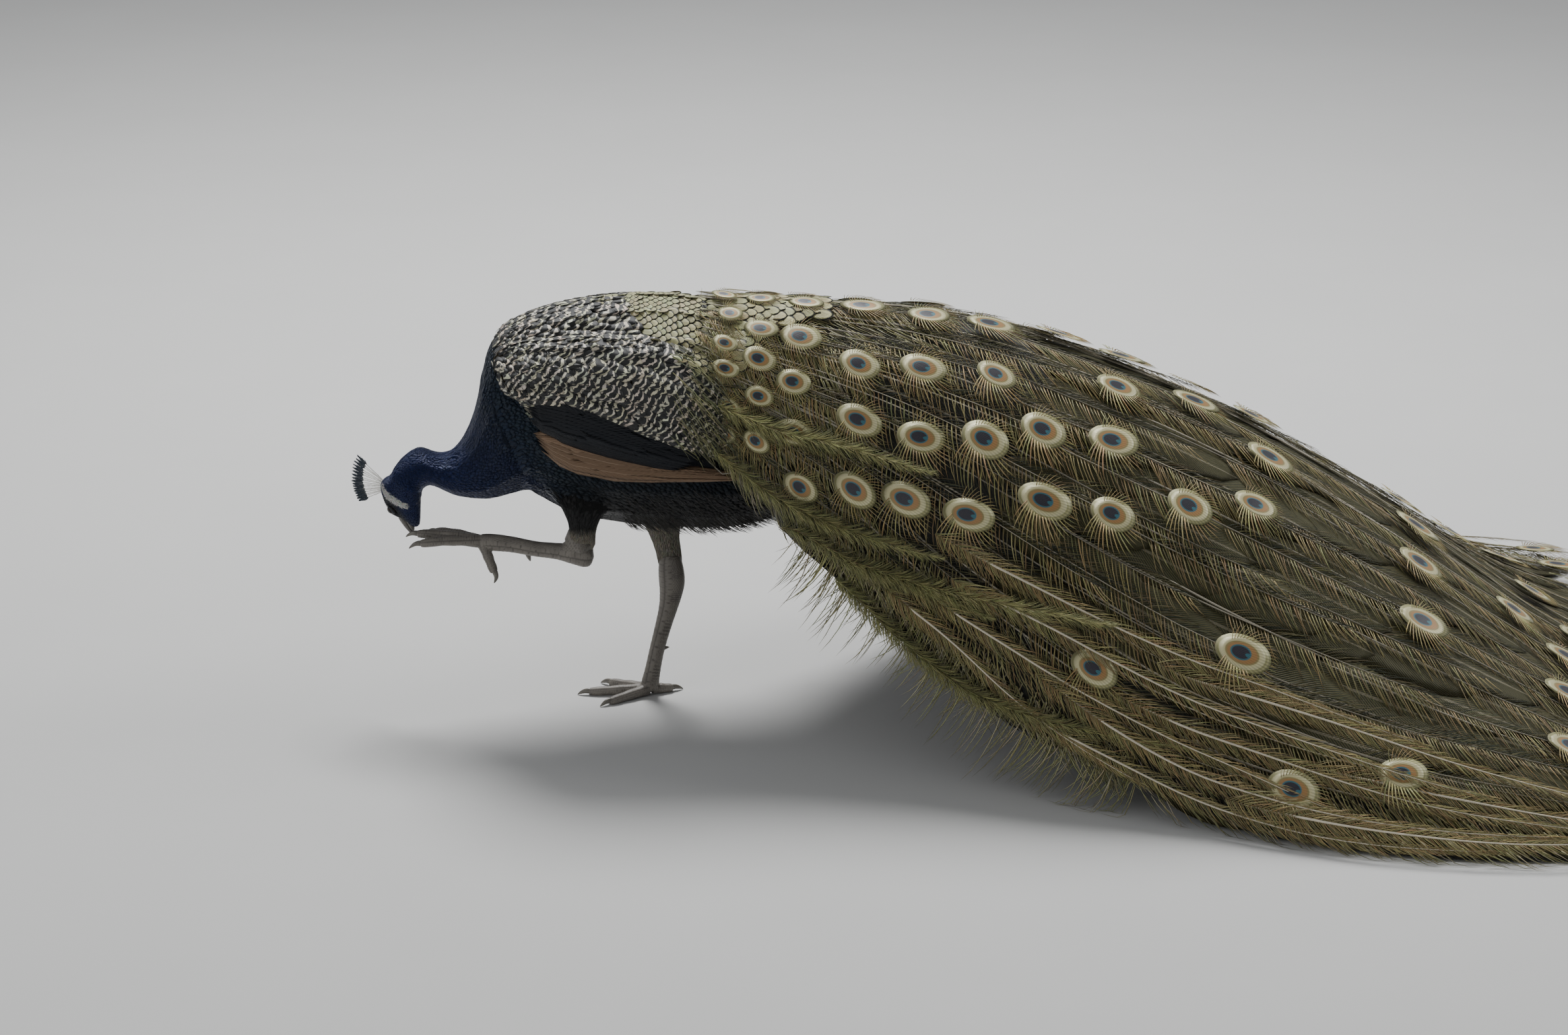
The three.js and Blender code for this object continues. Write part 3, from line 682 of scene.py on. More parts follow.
def coat_colour(where, part):
    """The plumage colour of each place on the body, for the skin and the feathers alike."""
    where = np.asarray(where, dtype=float)
    along = BODY_LIE.near(where)[0]
    x, _, z = where.T
    head = in_head(where)
    brow, cheek, line = face_marks(head)
    trunk, on_head = part == TRUNK, (part == HEAD).astype(float)
    thigh = part >= LEFT_THIGH
    buff_from = np.where(part == LEFT_THIGH, 0.253, 0.325)
    colour = np.tile(NECK_BLUE, (len(where), 1))
    for over, share in (
        (THROAT_BLUE, soft_step(along, 0.42, 0.6)),
        (BREAST_TEAL, soft_step(along, 0.6, 0.7)),
        (BELLY_BLACK, soft_step(0.33 - z, -0.03, 0.05) * soft_step(x, -0.16, -0.06)),
        (BACK_GOLD, soft_step(z, 0.455, 0.475) * soft_step(x, -0.10, -0.05) * trunk),
        (BAR_BUFF, barred_share(where) * trunk),
        (THIGH_DARK, thigh * soft_step(0.40 - z, 0, 0.05)),
        (THIGH_BUFF, thigh * soft_step(buff_from - z, -0.012, 0.006)),
        (CROWN_BLUE, soft_step(head[:, 2], 6, 13) * on_head * 0.8),
        (EYE_LINE, line * on_head),
        (FACE_WHITE, np.maximum(brow, cheek) * on_head),
    ):
        colour = mixed(colour, over, share)
    return np.c_[colour, np.ones(len(where))]


def tube_map(along, where, centre, part):
    """An unwrap of the body as strips: along the lie for one axis and round it for the other."""
    out = where - centre
    angle = np.arctan2(out[:, 1], out[:, 2]) / math.tau + 0.5
    leg = part >= LEFT_THIGH
    u = np.where(leg, 0.02 + 0.3 * along, 0.01 + 0.98 * along)
    v = np.where(leg, 0.04 + 0.1 * angle + 0.12 * (part - LEFT_THIGH), 0.32 + 0.66 * angle)
    return np.c_[u, v]


def above_hem(where):
    """How far a place on the thighs is above the line where feathers end; 1 elsewhere."""
    x, _, z = where.T
    hem = np.where(x < BETWEEN_THIGHS, HOCK_HEM_LEFT, HOCK_HEM_RIGHT)
    return np.where((x > -0.15) & (x < 0.08) & (z < hem + 0.05), z - hem, 1.0)


def skin_material():
    return fibre_material("skin under the coat", 0.75, 0.7, 420, 5, 0.0008, 0.7, sheen=0.0, specular=0.2)


def make_skin():
    skin = remeshed("body_skin", node_mesh(*FLESH, grow=GROW), voxel=BODY_GRID, smooth=5, depth=coat_depth)
    where = coordinates(skin.data)
    part = nearest_of(FLESH_SURFACES, where)
    pale = np.maximum(*face_marks(in_head(where))[:2]) * (part == HEAD)
    pale = np.maximum(pale, 1 - soft_step(above_hem(where), 0.0, 0.012))
    shade = coat_colour(where, part)
    # Painted shade: the skin is darkened to 0.40 of the coat's colour so the gaps between feathers look shaded; pale
    # face marks and the bare skin by the hem keep nearly all of theirs.
    shade[:, :3] *= (0.40 + 0.55 * pale)[:, None]
    tint_points(skin.data, shade)
    along, _, _, centre = BODY_LIE.near(where)
    map_points(skin.data, "OFBake", tube_map(along, where, centre, part))
    show(skin, skin_material(), FLESH)
    return skin


# ---------------------------------------------------------------- sowing feathers
NEIGHBOURS = [(dx, dy, dz) for dx in (-1, 0, 1) for dy in (-1, 0, 1) for dz in (-1, 0, 1)]


def spaced(points, spacing):
    """Indices of points no nearer to each other than each one's own spacing."""
    size = float(np.max(spacing))
    cells, chosen = {}, []

    def crowded(p, gap, x, y, z):
        for dx, dy, dz in NEIGHBOURS:
            for j in cells.get((x + dx, y + dy, z + dz), ()):
                away = p - points[j]
                if away @ away < gap * gap:
                    return True
        return False

    for i, (p, gap) in enumerate(zip(points, spacing)):
        key = tuple((p // size).astype(int))
        if not crowded(p, gap, *key):
            cells.setdefault(key, []).append(i)
            chosen.append(i)
    return np.array(chosen)


def sown(mesh, spacing_of, tries):
    """Evenly spread places on a mesh, with their normals; spacing may vary with place."""
    where, normals = coordinates(mesh), facings(mesh)
    mesh.calc_loop_triangles()
    tris = read(mesh.loop_triangles, "vertices", 3, np.int32)
    a, b, c = (where[tris[:, k]] for k in range(3))
    area = np.linalg.norm(np.cross(b - a, c - a), axis=1) / 2
    weight = area / spacing_of((a + b + c) / 3) ** 2
    picked = dice.choice(len(tris), size=tries, p=weight / weight.sum())
    r1, r2 = np.sqrt(dice.random(tries)), dice.random(tries)
    w = np.c_[1 - r1, r1 * (1 - r2), r1 * r2]
    spots = (where[tris[picked]] * w[:, :, None]).sum(axis=1)
    up = unit((normals[tris[picked]] * w[:, :, None]).sum(axis=1))
    keep = spaced(spots, spacing_of(spots))
    return spots[keep], up[keep]


def settled(tree, where, runs, up, long, stand):
    """Aims each feather so that its tip lies just above the surface and its middle clears it."""
    found = [tree.find_nearest(Vector(p)) for p in where + runs * long[:, None]]
    touch = np.array([f[0] for f in found])
    face = np.array([f[1] for f in found])
    tip = touch + face * stand[:, None]
    middle = (where + tip) / 2
    found = [tree.find_nearest(Vector(p)) for p in middle]
    sunk = np.array([(f[0] - Vector(p)).dot(f[1]) for f, p in zip(found, middle)])
    where = where + up * np.clip(1.6 * sunk, 0, 0.0016)[:, None]
    aim = unit(tip - where)
    return where, aim, along_surface(unit(up + face), aim)


def tinted(colour, spread=0.22):
    """Each copy's colour varied a little, with a random phase in the alpha channel."""
    light = 1 + spread * (dice.random(len(colour))[:, None] * 2 - 1)
    hue = 1 + 0.08 * (dice.random((len(colour), 3)) * 2 - 1)
    return np.c_[np.clip(colour[:, :3] * light * hue, 0, 1), dice.random(len(colour))]


def varied(count):
    """Sizes about 1, each one's own."""
    return 0.85 + 0.3 * dice.random(count)


def hits(tree, spots, up, reach):
    """Which places have a surface within reach over them."""
    return np.array([tree.ray_cast(Vector(p), Vector(n), reach)[0] is not None for p, n in zip(spots, up)])


# ---------------------------------------------------------------- body coat
# Places tried, how near a wing or the train leaves a place bare, and how many grow loose down.
BODY_TRIES, COVER_REACH, DOWN_SHARE = 260000, 0.012, 0.30
BLADES = ("wing", "secondaries", "primaries")
COVERS = surface_of(*[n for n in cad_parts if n.split("_")[0] in (*BLADES, "train")])
SLEEK_FEATHER = feather("sleek feather", lambda t: math.sin(math.pi * t ** 0.75) ** 0.7, 2, keel=0.05, cup=0.12)
SCALE_FEATHER = feather(
    "scale feather", lambda t: min(1.0, 0.45 + 1.5 * t) * math.sqrt(max(0.0, 1 - max(0.0, (t - 0.55) / 0.47) ** 2.2)),
    5, tops=3, keel=0.02, cup=0.06, arch=0.02)
LONG_FEATHER = feather("long feather", lambda t: math.sin(math.pi * t ** 0.6) ** 0.5, 4, curl=0.03)


def plumage_material(name, roughness, metallic=0.0, edge=0.0, edge_colour=BLACK, stripe=0.1):
    """Feather finish: the copy's own tint, a darker edge and fine barbs."""
    look = Finish(name, roughness, metallic)
    across, along = look.vane()
    speckle = look.grain(260, 4)
    base = blend(speckle * 0.35, look.tint(), BLACK)
    rim = maths("MAXIMUM", across, along * 0.96)
    rim = maths("SMOOTH_MIN", 1.0, rim ** 9.0, 0.1)
    base = blend(rim * edge, base, edge_colour)
    barbs = sine((across * 9.0 + along * -16.0) * 3.0)
    base = blend(barbs * stripe, base, BLACK, "MULTIPLY")
    return look.painted(base, barbs * 0.5 + speckle * 0.6, 0.0006)


def coat_lie(where, up, part):
    """The way the coat lies at each place, along the surface, and how far along the body it is."""
    along, runs, _, centre = BODY_LIE.near(where)
    for index in (LEFT_THIGH, RIGHT_THIGH):
        mine = part == index
        if mine.any():
            t, leg, _, middle = THIGH_LIES[FLESH[index]].near(where[mine])
            share = soft_step(0.34 - where[mine][:, 2], 0, 0.05)[:, None]
            runs[mine] = unit(runs[mine] * (1 - share) + leg * share)
            along[mine], centre[mine] = t, middle
    runs[:, 2] += -0.35 * soft_step(along, 0.55, 0.75) * (part == TRUNK)
    return along_surface(runs, up), along, centre


def coat_spacing(where):
    """Distance between neighbouring feathers: smallest on the face, largest on the belly."""
    where = np.asarray(where)
    along = BODY_LIE.near(where)[0]
    gap = 0.0018 + 0.0010 * soft_step(along, 0.34, 0.55) + 0.0016 * soft_step(along, 0.6, 0.72)
    low = soft_step(0.285 - where[:, 2], 0, 0.02) * soft_step(where[:, 0], -0.14, -0.12)
    gap = gap - (gap - 0.0021) * low
    near_head = np.exp(-(np.linalg.norm(in_head(where), axis=1) / 30) ** 6)
    return gap * (1 - near_head) + 0.00125 * near_head


def dress_body(skin):
    spots, up = sown(skin.data, coat_spacing, BODY_TRIES)
    part = nearest_of(FLESH_SURFACES, spots)
    kept = ~hits(COVERS, spots, up, COVER_REACH) & (above_hem(spots) > 0)
    spots, up, part = spots[kept], up[kept], part[kept]
    runs, along, centre = coat_lie(spots, up, part)
    root = tube_map(along, spots, centre, part)
    colour = coat_colour(spots, part)
    gap = coat_spacing(spots)
    tree = mesh_surface(skin.data)
    on_head = (part == HEAD) & (np.linalg.norm(in_head(spots), axis=1) < FACE_REACH)
    breast = (part == TRUNK) & (barred_share(spots) <= 0.5)
    neck = ((part == UPPER_NECK) | (part == LOWER_NECK)) & ~on_head
    thigh = part >= LEFT_THIGH
    short = np.where(thigh, 0.45 + 0.55 * soft_step(above_hem(spots), 0, 0.03), 1.0)
    face = plumage_material("head feathers", 0.55, edge=0.1)
    sleek = plumage_material("neck and breast feathers", 0.42, 0.3, 0.25, (0.001, 0.003, 0.010), 0.12)
    soft = plumage_material("thigh feathers", 0.85, stripe=0.05)
    # Each kind: where it grows, its finish, its length, width and thickness for a gap of 1, how
    # far its tip stands off in millimetres, its slot, and how much its tint varies.
    for name, mine, material, long, wide, thick, stand, slot, spread in (
        ("head_feathers", on_head, face, 3.3, 2.2, 0.6, 0.12, "neck_plumage", 0.10),
        ("neck_feathers", neck, sleek, 4.2, 2.0, 0.7, 0.15, "neck_plumage", 0.12),
        ("breast_feathers", breast, sleek, 3.6, 2.2, 0.7, 0.20, "body_plumage", 0.14),
        ("thigh_feathers", thigh, soft, 5.2, 1.5, 0.3, 0.05, "thigh_plumage", 0.06),
    ):
        n = int(mine.sum())
        scale = varied(n) * short[mine]
        length = gap[mine] * long * scale
        lift = stand * MM * (0.7 + 0.6 * dice.random(n)) + 0.035 * length
        place, aim, over = settled(tree, spots[mine] - up[mine] * 0.0003, runs[mine], up[mine], length, lift)
        size = np.c_[gap[mine] * wide * scale, length, gap[mine] * thick]
        scatter(name, SLEEK_FEATHER, material, place, aim, over, size, tinted(colour[mine], spread), root[mine])

    # Loose down under the belly and behind the thighs, where the coat ends in a ragged fringe.
    ragged = breast & (spots[:, 2] < 0.315) & (spots[:, 0] > -0.03) & (up[:, 2] < -0.2)
    ragged &= dice.random(len(spots)) < DOWN_SHARE
    n = int(ragged.sum())
    long = 0.010 + 0.014 * dice.random(n)
    aim = runs[ragged] + up[ragged] * (0.35 + 0.4 * dice.random((n, 1)))
    aim[:, 2] -= 0.25
    scatter("vent_down", barb("down barb", 0.10, 0.12, 0.07, 0.02),
            fibre_material("vent down", 0.8, 0.4), spots[ragged], unit(aim), up[ragged],
            np.c_[long, long, long], tinted(solid_colour(DOWN_DARK, n), 0.4), root[ragged])


# ---------------------------------------------------------------- back
BACK_AXIS_HEIGHT, BACK_RADIUS = 0.38, 0.15
SCALES_FROM, SCALES_TO = -0.062, 0.205


def scale_material():
    """Back scales: pale gold with a greener, bronze-flecked heart and a narrow black edge."""
    look = Finish("golden back scales", 0.5, metallic=0.1, sheen=0.05)
    across, along = look.vane()
    speckle = look.grain(600, 5)
    tipward = maths("MAXIMUM", along - 0.46, 0.0)
    reach = across ** 2.0 + tipward ** 2.0 * 3.6
    heart = ramp(reach, (0.0, grey(1)), (0.30, grey(0.5)), (0.50, grey(0)))
    fibre = sine(across * 26.0 + along * -34.0)
    base = blend(heart * 0.55, look.tint(), (0.25, 0.22, 0.10))
    base = blend(speckle * 0.35, base, (0.09, 0.10, 0.03))
    base = blend((fibre + 1.0) * 0.08, base, (0.05, 0.05, 0.015))
    base = blend(ramp(reach, (0.66, grey(0)), (0.80, grey(1))), base, (0.010, 0.011, 0.008))
    return look.painted(base, fibre + speckle)


def dress_back():
    """Rows of golden scales laid like roof tiles from the nape of the back to the train."""
    tree = surface_of("trunk", "train_1_left", "train_1_middle", "train_1_right", "wing_left", "wing_right")
    places, normals, sizes = [], [], []
    x, row = SCALES_FROM, 0
    while x < SCALES_TO:
        grown = max(0.0, x + 0.045)
        pitch, wide = 0.0046 + 0.026 * grown, 0.0088 + 0.040 * grown
        reach = 0.10 + 0.80 * float(soft_step(x, -0.060, 0.070))
        reach *= 1 - 0.74 * float(soft_step(x, 0.085, 0.170))
        steps = int(reach * BACK_RADIUS / wide) + 1
        for k in range(-steps, steps + 1):
            angle = (k + 0.5 * (row % 2)) * wide * 0.94 / BACK_RADIUS
            out = Vector((0, math.sin(angle), math.cos(angle)))
            start = Vector((x + 0.0012 * math.sin(5.1 * k + row), 0, BACK_AXIS_HEIGHT)) + out * 0.4
            place, normal = tree.ray_cast(start, -out)[:2]
            if place is None:
                continue
            normal = np.array(normal if normal.dot(out) > 0 else -normal)
            places.append(np.array(place) + normal * 0.0052 * float(soft_step(x, 0.070, 0.115)))
            normals.append(normal)
            sizes.append((wide * 1.12, pitch * 2.7, wide * 0.8))
        x += pitch
        row += 1
    places, up = np.array(places), unit(np.array(normals))
    y = places[:, 1]
    runs = np.tile((1.0, 0.0, -0.06), (len(places), 1))
    runs[:, 1] = np.sign(y) * 0.12 * np.minimum(1, np.abs(y) / 0.05)
    runs = along_surface(runs, up)
    tilt = np.radians(3.6 + 0.8 * dice.random(len(places)))[:, None]
    tint = tinted(solid_colour(BACK_GOLD, len(places)), 0.18)
    scatter("back_scales", SCALE_FEATHER, scale_material(), places - up * 0.0002,
            runs * np.cos(tilt) + up * np.sin(tilt), up * np.cos(tilt) - runs * np.sin(tilt), np.array(sizes),
            tint, np.c_[(places[:, 0] + 0.2) * 1.6, y * 2.5 + 0.5], 0.012)


# ---------------------------------------------------------------- long vanes laid on a surface
VANE_COLUMNS = 4


class Vanes:
    """Long feathers of one piece: lens-shaped strips along lines, each with its own map cell."""

    def __init__(self, cells):
        self.points, self.faces, self.vane, self.bake, self.tint = [], [], [], [], []
        self.cells, self.made = cells, 0

    def keep(self, point, u, v):
        self.points.append(point)
        self.vane.append((u, v))
        self.bake.append(((self.made + 0.05 + 0.9 * u) / self.cells, 0.02 + 0.96 * v))

    def add(self, line, normals, widths, thick, colour, cup):
        line, columns = np.asarray(line), VANE_COLUMNS
        runs = unit(np.gradient(line, axis=0))
        side = unit(np.cross(runs, unit(np.asarray(normals))))
        over = np.cross(side, runs)
        base, count = len(self.points), len(line)
        self.keep(line[0], 0.5, 0.0)
        for i in range(1, count - 1):
            for k in range(2 * columns):
                top = k <= columns
                share = k / columns * 2 - 1 if top else 1 - (k - columns) / columns * 2
                rise = thick * (1 - share * share) * (1 if top else -0.5)
                drop = cup * widths[i] * share * share
                self.keep(line[i] + side[i] * widths[i] * 0.5 * share + over[i] * (rise - drop),
                          0.5 + 0.5 * share, i / (count - 1))
        self.keep(line[-1], 0.5, 1.0)
        self.faces += capped(count - 2, 2 * columns, base)
        self.tint += [(*colour, 1)] * (len(self.points) - base)
        self.made += 1

    def piece(self, name, slot, material, nodes=()):
        made = coloured_piece(name, self.points, self.faces, self.bake, self.tint, self.vane)
        show(made, material, nodes)
        return made


def vane_material(name, roughness, barbs, shaft_colour, rim_colour, metallic=0.0, slope=0.08, comb_share=0.07):
    """A long vane: its tint streaked along it, combed by its barbs, with a shaft and a rim."""
    look = Finish(name, roughness, metallic, specular=0.35)
    across, along = look.vane()
    streak = look.flow("ShaderNodeMapping", 0, {0: look.place(), "Scale": (40.0, 300.0, 300.0)})
    fibre = look.grain(3.0, 4, streak)
    slant = along * barbs + across * (-barbs * slope)
    comb = sine(slant * math.tau + fibre * 3.0)
    base = blend(fibre * 0.35, look.tint(), BLACK)
    base = blend((comb + 1.0) * comb_share, base, rim_colour)
    base = blend(across ** 12.0 * 0.5, base, rim_colour)
    line = maths("LESS_THAN", across, 0.045)
    base = blend(line * 0.85, base, shaft_colour)
    return look.painted(base, comb + line * 4.0, 0.0004)


# ---------------------------------------------------------------- wings
LINE_SAMPLES, COLUMN_SAMPLES = 15, 25
VANE_THICK = 0.0007
UNDER_WING = solid_colour(UNDER_SHIELD), solid_colour(SECONDARY_INK), solid_colour(PRIMARY_RUST)


def dress_wing(side, bed_finish, dark_vane, rust_vane):
    word = "left" if side < 0 else "right"
    nodes = [f"{part}_{word}" for part in BLADES]
    bed = remeshed(f"wing_bed_{word}", node_mesh(*nodes, grow=GROW), voxel=WING_GRID, smooth=5, depth=0.0026)
    owner = nearest_of([surface_of(name) for name in nodes], coordinates(bed.data))
    tint_points(bed.data, np.concatenate(UNDER_WING)[owner])
    show(bed, bed_finish, nodes)

    # Secondaries and primaries: long vanes that overlap like a closed fan.
    for key, count, material, colour, slot, low, high in (
        ("secondaries", 10, dark_vane, SECONDARY_INK, "secondary_plumage", 0.02, 1.04),
        ("primaries", 6, rust_vane, PRIMARY_RUST, "primary_plumage", 0.0, 1.0),
    ):
        box_low, box_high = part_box(f"{key}_{word}")
        tree = surface_of(f"{key}_{word}")

        def surface(x, z):
            """The place and normal that shows under a point of the side view."""
            place, normal = tree.ray_cast(Vector((x, side * 0.5, z)), Vector((0, -side, 0)))[:2]
            if place is None:
                place, normal = tree.find_nearest(Vector((x, side * 0.12, z)))[:2]
            return np.array(place), np.array(normal)

        vanes = Vanes(count)
        for k in range(count):
            share = k / (count - 1)
            start = box_low.x + 0.004 + 0.012 * (1 - share)
            cut = 0.05 * (1 - share) if key == "secondaries" else 0.10 * share
            end = box_high.x - (0.004 + cut)
            line, facing, widths = [], [], []
            for t in np.arange(LINE_SAMPLES) / (LINE_SAMPLES - 1):
                x = start + (end - start) * t
                heights = box_low.z + (box_high.z - box_low.z) * np.arange(COLUMN_SAMPLES) / (COLUMN_SAMPLES - 1)
                column = [surface(x, z)[0] for z in heights]
                reach = [p[2] for p in column if abs(p[0] - x) < 0.002] or [column[COLUMN_SAMPLES // 2][2]]
                tall = max(reach) - min(reach)
                place, normal = surface(x, min(reach) + tall * (0.10 + 0.80 * (low + (high - low) * share)))
                line.append(place + normal * (0.0006 + 0.0007 * (count - k)))
                facing.append(normal)
                round_ends = math.sin(math.pi * min(0.97, 0.10 + t * 0.87)) ** 0.5
                widths.append(max(0.004, tall * 2.2 / count + 0.006) * round_ends)
            vanes.add(line, facing, widths, VANE_THICK, colour * varied(1), cup=0.05)
        vanes.piece(f"{key}_vanes_{word}", slot, material)


# ---------------------------------------------------------------- barred shield
BAR_RUN = (0.78, 0.0, -0.62)
BARS_PER_METRE = 112.0
SHIELD_TRIES, DOWN_EACH, BARBS_EACH = 40000, 3, 9
# In front of this x the shield grows only above this height.
SHIELD_FRONT, FRONT_HEM = -0.10, 0.402


def barred_material():
    """Buff feathers crossed by wavy black bars that run on from one feather to the next."""
    look = Finish("barred shield feathers", 0.62, sheen=0.1)
    across = look.vane()[0]
    downstream = look.flow("ShaderNodeVectorMath", "Value", {0: look.place(), 1: BAR_RUN}, operation="DOT_PRODUCT")
    shift = look.grain(52, 2) * 2.2 + look.grain(260, 2) * 0.55
    phase = (downstream * BARS_PER_METRE + across ** 2.0 * 0.34) + (shift + look.tint("Alpha") * 0.14)
    dark = ramp(sine(phase * math.tau) * 0.5 + 0.5, (0.20, grey(0)), (0.30, grey(1)))
    speckle = look.grain(500, 4)
    buff = blend(speckle * 0.40, look.tint(), (0.34, 0.29, 0.19))
    return look.painted(blend(dark, buff, (0.014, 0.015, 0.015)), speckle, 0.0004)


def dress_shield():
    """The barred feathers of shoulders and wings, over one smooth surface so that no seam shows."""
    names = ["trunk"] + [f"{part}_{word}" for word in ("left", "right") for part in BLADES]
    guide = remeshed("shield guide", node_mesh(*names), voxel=WING_GRID, smooth=12, depth=-0.0014)

    def spacing(where):
        return 0.0056 + 0.0038 * soft_step(where[:, 0], -0.20, -0.06)

    spots, up = sown(guide.data, spacing, SHIELD_TRIES)
    owner = nearest_of([surface_of(name) for name in names], spots)
    on_wing = (owner == names.index("wing_left")) | (owner == names.index("wing_right"))
    shoulder = (owner == 0) & (barred_share(spots) > 0.5)
    covered = hits(surface_of("train_1_left", "train_1_middle", "train_1_right"), spots, up, 0.02)
    mine = (on_wing | shoulder) & ~covered & ((spots[:, 0] > SHIELD_FRONT) | (spots[:, 2] > FRONT_HEM))
    spots, up = spots[mine], up[mine]
    x, y, z = spots.T
    count = len(spots)
    runs = np.tile((1.0, 0.0, 0.0), (count, 1))
    steep = np.clip(np.abs(up[:, 1]), 0, 1)
    runs[:, 2] -= steep * (0.35 + 0.45 * soft_step(x, -0.12, 0.08))
    runs[:, 1] += np.sign(y) * 0.25 * (1 - steep)
    runs = along_surface(runs, up)
    gap, scale = spacing(spots), varied(count)
    length = gap * 2.8 * scale
    place, aim, over = settled(mesh_surface(guide.data), spots, runs, up, length, 0.0003 + 0.016 * length)
    root = np.c_[(x + 0.25) * 1.9, 0.5 + np.sign(y) * (0.02 + (0.56 - z) * 1.7)]
    scatter("shield_feathers", LONG_FEATHER, barred_material(), place, aim, over,
            np.c_[gap * 2.1 * scale, length, gap * 0.28], tinted(solid_colour(BAR_BUFF, count), 0.10), root)

    # Grey down along the rear of the shield, where it passes under the train.
    rear = (x > 0.045) & (dice.random(count) < 0.8)
    start, facing, aim = (np.repeat(values[rear], DOWN_EACH, axis=0) for values in (spots, up, runs))
    start = start + 0.004 * dice.standard_normal(start.shape)
    aim = unit(aim + facing * 0.16 + 0.25 * dice.standard_normal(start.shape))
    long = 0.010 + 0.012 * dice.random(len(start))
    scatter("shield_down", barb("shield down", 0.12, 0.10, 0.06, 0.02),
            fibre_material("shield down", 0.8, 0.4), start, aim, facing, np.c_[long, long, long],
            tinted(solid_colour(DOWN_GREY, len(start)), 0.4), np.repeat(root[rear], DOWN_EACH, axis=0))

    # Long barbs of the train that hang over the rear of the wings.
    near = soft_step(x, 0.020, 0.075) * soft_step(0.545 - z, 0, 0.03)
    start, facing, root = (np.repeat(values, BARBS_EACH, axis=0) for values in (spots, up, root))
    start = start + 0.005 * dice.standard_normal(start.shape)
    kept = dice.random(len(start)) < np.repeat(near, BARBS_EACH) * 0.80
    start, facing, root = start[kept], facing[kept], root[kept]
    n = len(start)
    aim = np.tile((0.62, 0.0, -0.62), (n, 1)) + 0.12 * dice.standard_normal(start.shape)
    aim = along_surface(aim, facing) + facing * (0.10 + 0.10 * dice.random((n, 1)))
    long = 0.026 + 0.020 * dice.random(n)
    tone = BARB_SHADE * 2 + (BARB_GOLD * 0.8 - BARB_SHADE * 2) * dice.random((n, 1))
    scatter("mantle_barbs", barb("mantle barb", 0.20, 0.10, 0.034, 0.010),
            fibre_material("mantle barbs", 0.45, 0.3), start + facing * 0.001, unit(aim), facing,
            np.c_[np.full(n, 0.032), long, long], tinted(tone, 0.3), root)
    bpy.data.objects.remove(guide)


# ---------------------------------------------------------------- head: eyes, bill and crest
EYE_RINGS, EYE_SLICES, LID_STEPS = 22, 40, 48
# The section of a lid, from its edge on the ball outward: how far round the ball, and how far off it.
LID_SECTION = ((0.0, 0.02), (0.03, 0.22), (0.12, 0.34), (0.26, 0.28), (0.42, 0.04), (0.52, -0.9), (0.22, -0.7))


def eyeball_material():
    look = Finish("eye", 0.14, specular=0.15, coat=0.12)
    along = look.vane()[1]
    iris = blend(look.grain(60, 4, look.vane_map()), (0.012, 0.006, 0.003), (0.040, 0.018, 0.008))
    colour = ramp(along, (0.0, grey(0.002)), (0.148, grey(0.002)), (0.165, (0.05, 0.025, 0.01)),
                  (0.26, (0.02, 0.010, 0.006)), (0.32, (0.008, 0.006, 0.005)))
    middle = ramp(along, (0.15, grey(0)), (0.17, grey(1)), (0.27, grey(1)), (0.31, grey(0)))
    return look.painted(blend(middle, colour, iris))


def eye_pieces():
    ball_finish = eyeball_material()
    lid_finish = grained_material("eyelid skin", 0.6, (0.016, 0.019, 0.027), (0.005, 0.006, 0.010), 900, strength=0.8)
    for word in ("left", "right"):
        low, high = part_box(f"eye_{word}")
        centre = (low + high) / 2
        radius = (high.z - low.z) / 2
        aside = SIDE if (centre - HEAD_CENTRE).dot(SIDE) > 0 else -SIDE
        gaze = (aside + FORWARD * 0.22 + UP * 0.05).normalized()
        ahead = (FORWARD - gaze * FORWARD.dot(gaze)).normalized()
        above = gaze.cross(ahead) if gaze.cross(ahead).dot(UP) > 0 else ahead.cross(gaze)

        def on_ball(polar, turn, r):
            across = ahead * math.cos(turn) + above * math.sin(turn)
            return centre + (gaze * math.cos(polar) + across * math.sin(polar)) * r

        points, uvs = [on_ball(0, 0, radius)], [(0.5, 0)]
        for i in range(1, EYE_RINGS):
            polar = math.pi * i / EYE_RINGS
            swell = 1 + 0.035 * math.exp(-((polar / 0.5) ** 2))
            for k in range(EYE_SLICES):
                points.append(on_ball(polar, math.tau * k / EYE_SLICES, radius * swell * 0.985))
                uvs.append((k / EYE_SLICES, polar / math.pi))
        points.append(on_ball(math.pi, 0, radius))
        uvs.append((0.5, 1))
        ball = closed("eyeball", points, capped(EYE_RINGS - 1, EYE_SLICES, turned=True), uvs)
        show(new_object(f"eyeball_{word}", ball), ball_finish, [f"eye_{word}"])

        # Lids: an almond ring that closes over the edge of the ball, thickest above.
        points, faces, steps = [], [], len(LID_SECTION)
        wide, tall = math.radians(43), math.radians(31)
        for k in range(LID_STEPS):
            turn = math.tau * k / LID_STEPS
            edge = 1 / math.sqrt((math.cos(turn) / wide) ** 2 + (math.sin(turn) / tall) ** 2)
            edge *= 1 + 0.08 * math.cos(turn) ** 8
            thick = 1.0 + 0.45 * max(0, math.sin(turn))
            crease = 0.12 * math.sin(turn * 17)
            for j, (polar, lift) in enumerate(LID_SECTION):
                lift += 0.7 * crease if j == 3 else 0.0
                points.append(on_ball(edge + polar, turn, radius + lift * thick * MM))
            n = (k + 1) % LID_STEPS
            for j in range(steps):
                m = (j + 1) % steps
                faces.append((k * steps + j, k * steps + m, n * steps + m, n * steps + j))
        show(new_object(f"eyelids_{word}", closed("eyelids", points, faces)), lid_finish)


def horn_material(name, dark, pale):
    return grained_material(name, 0.38, dark, pale, 260, coat=0.3)


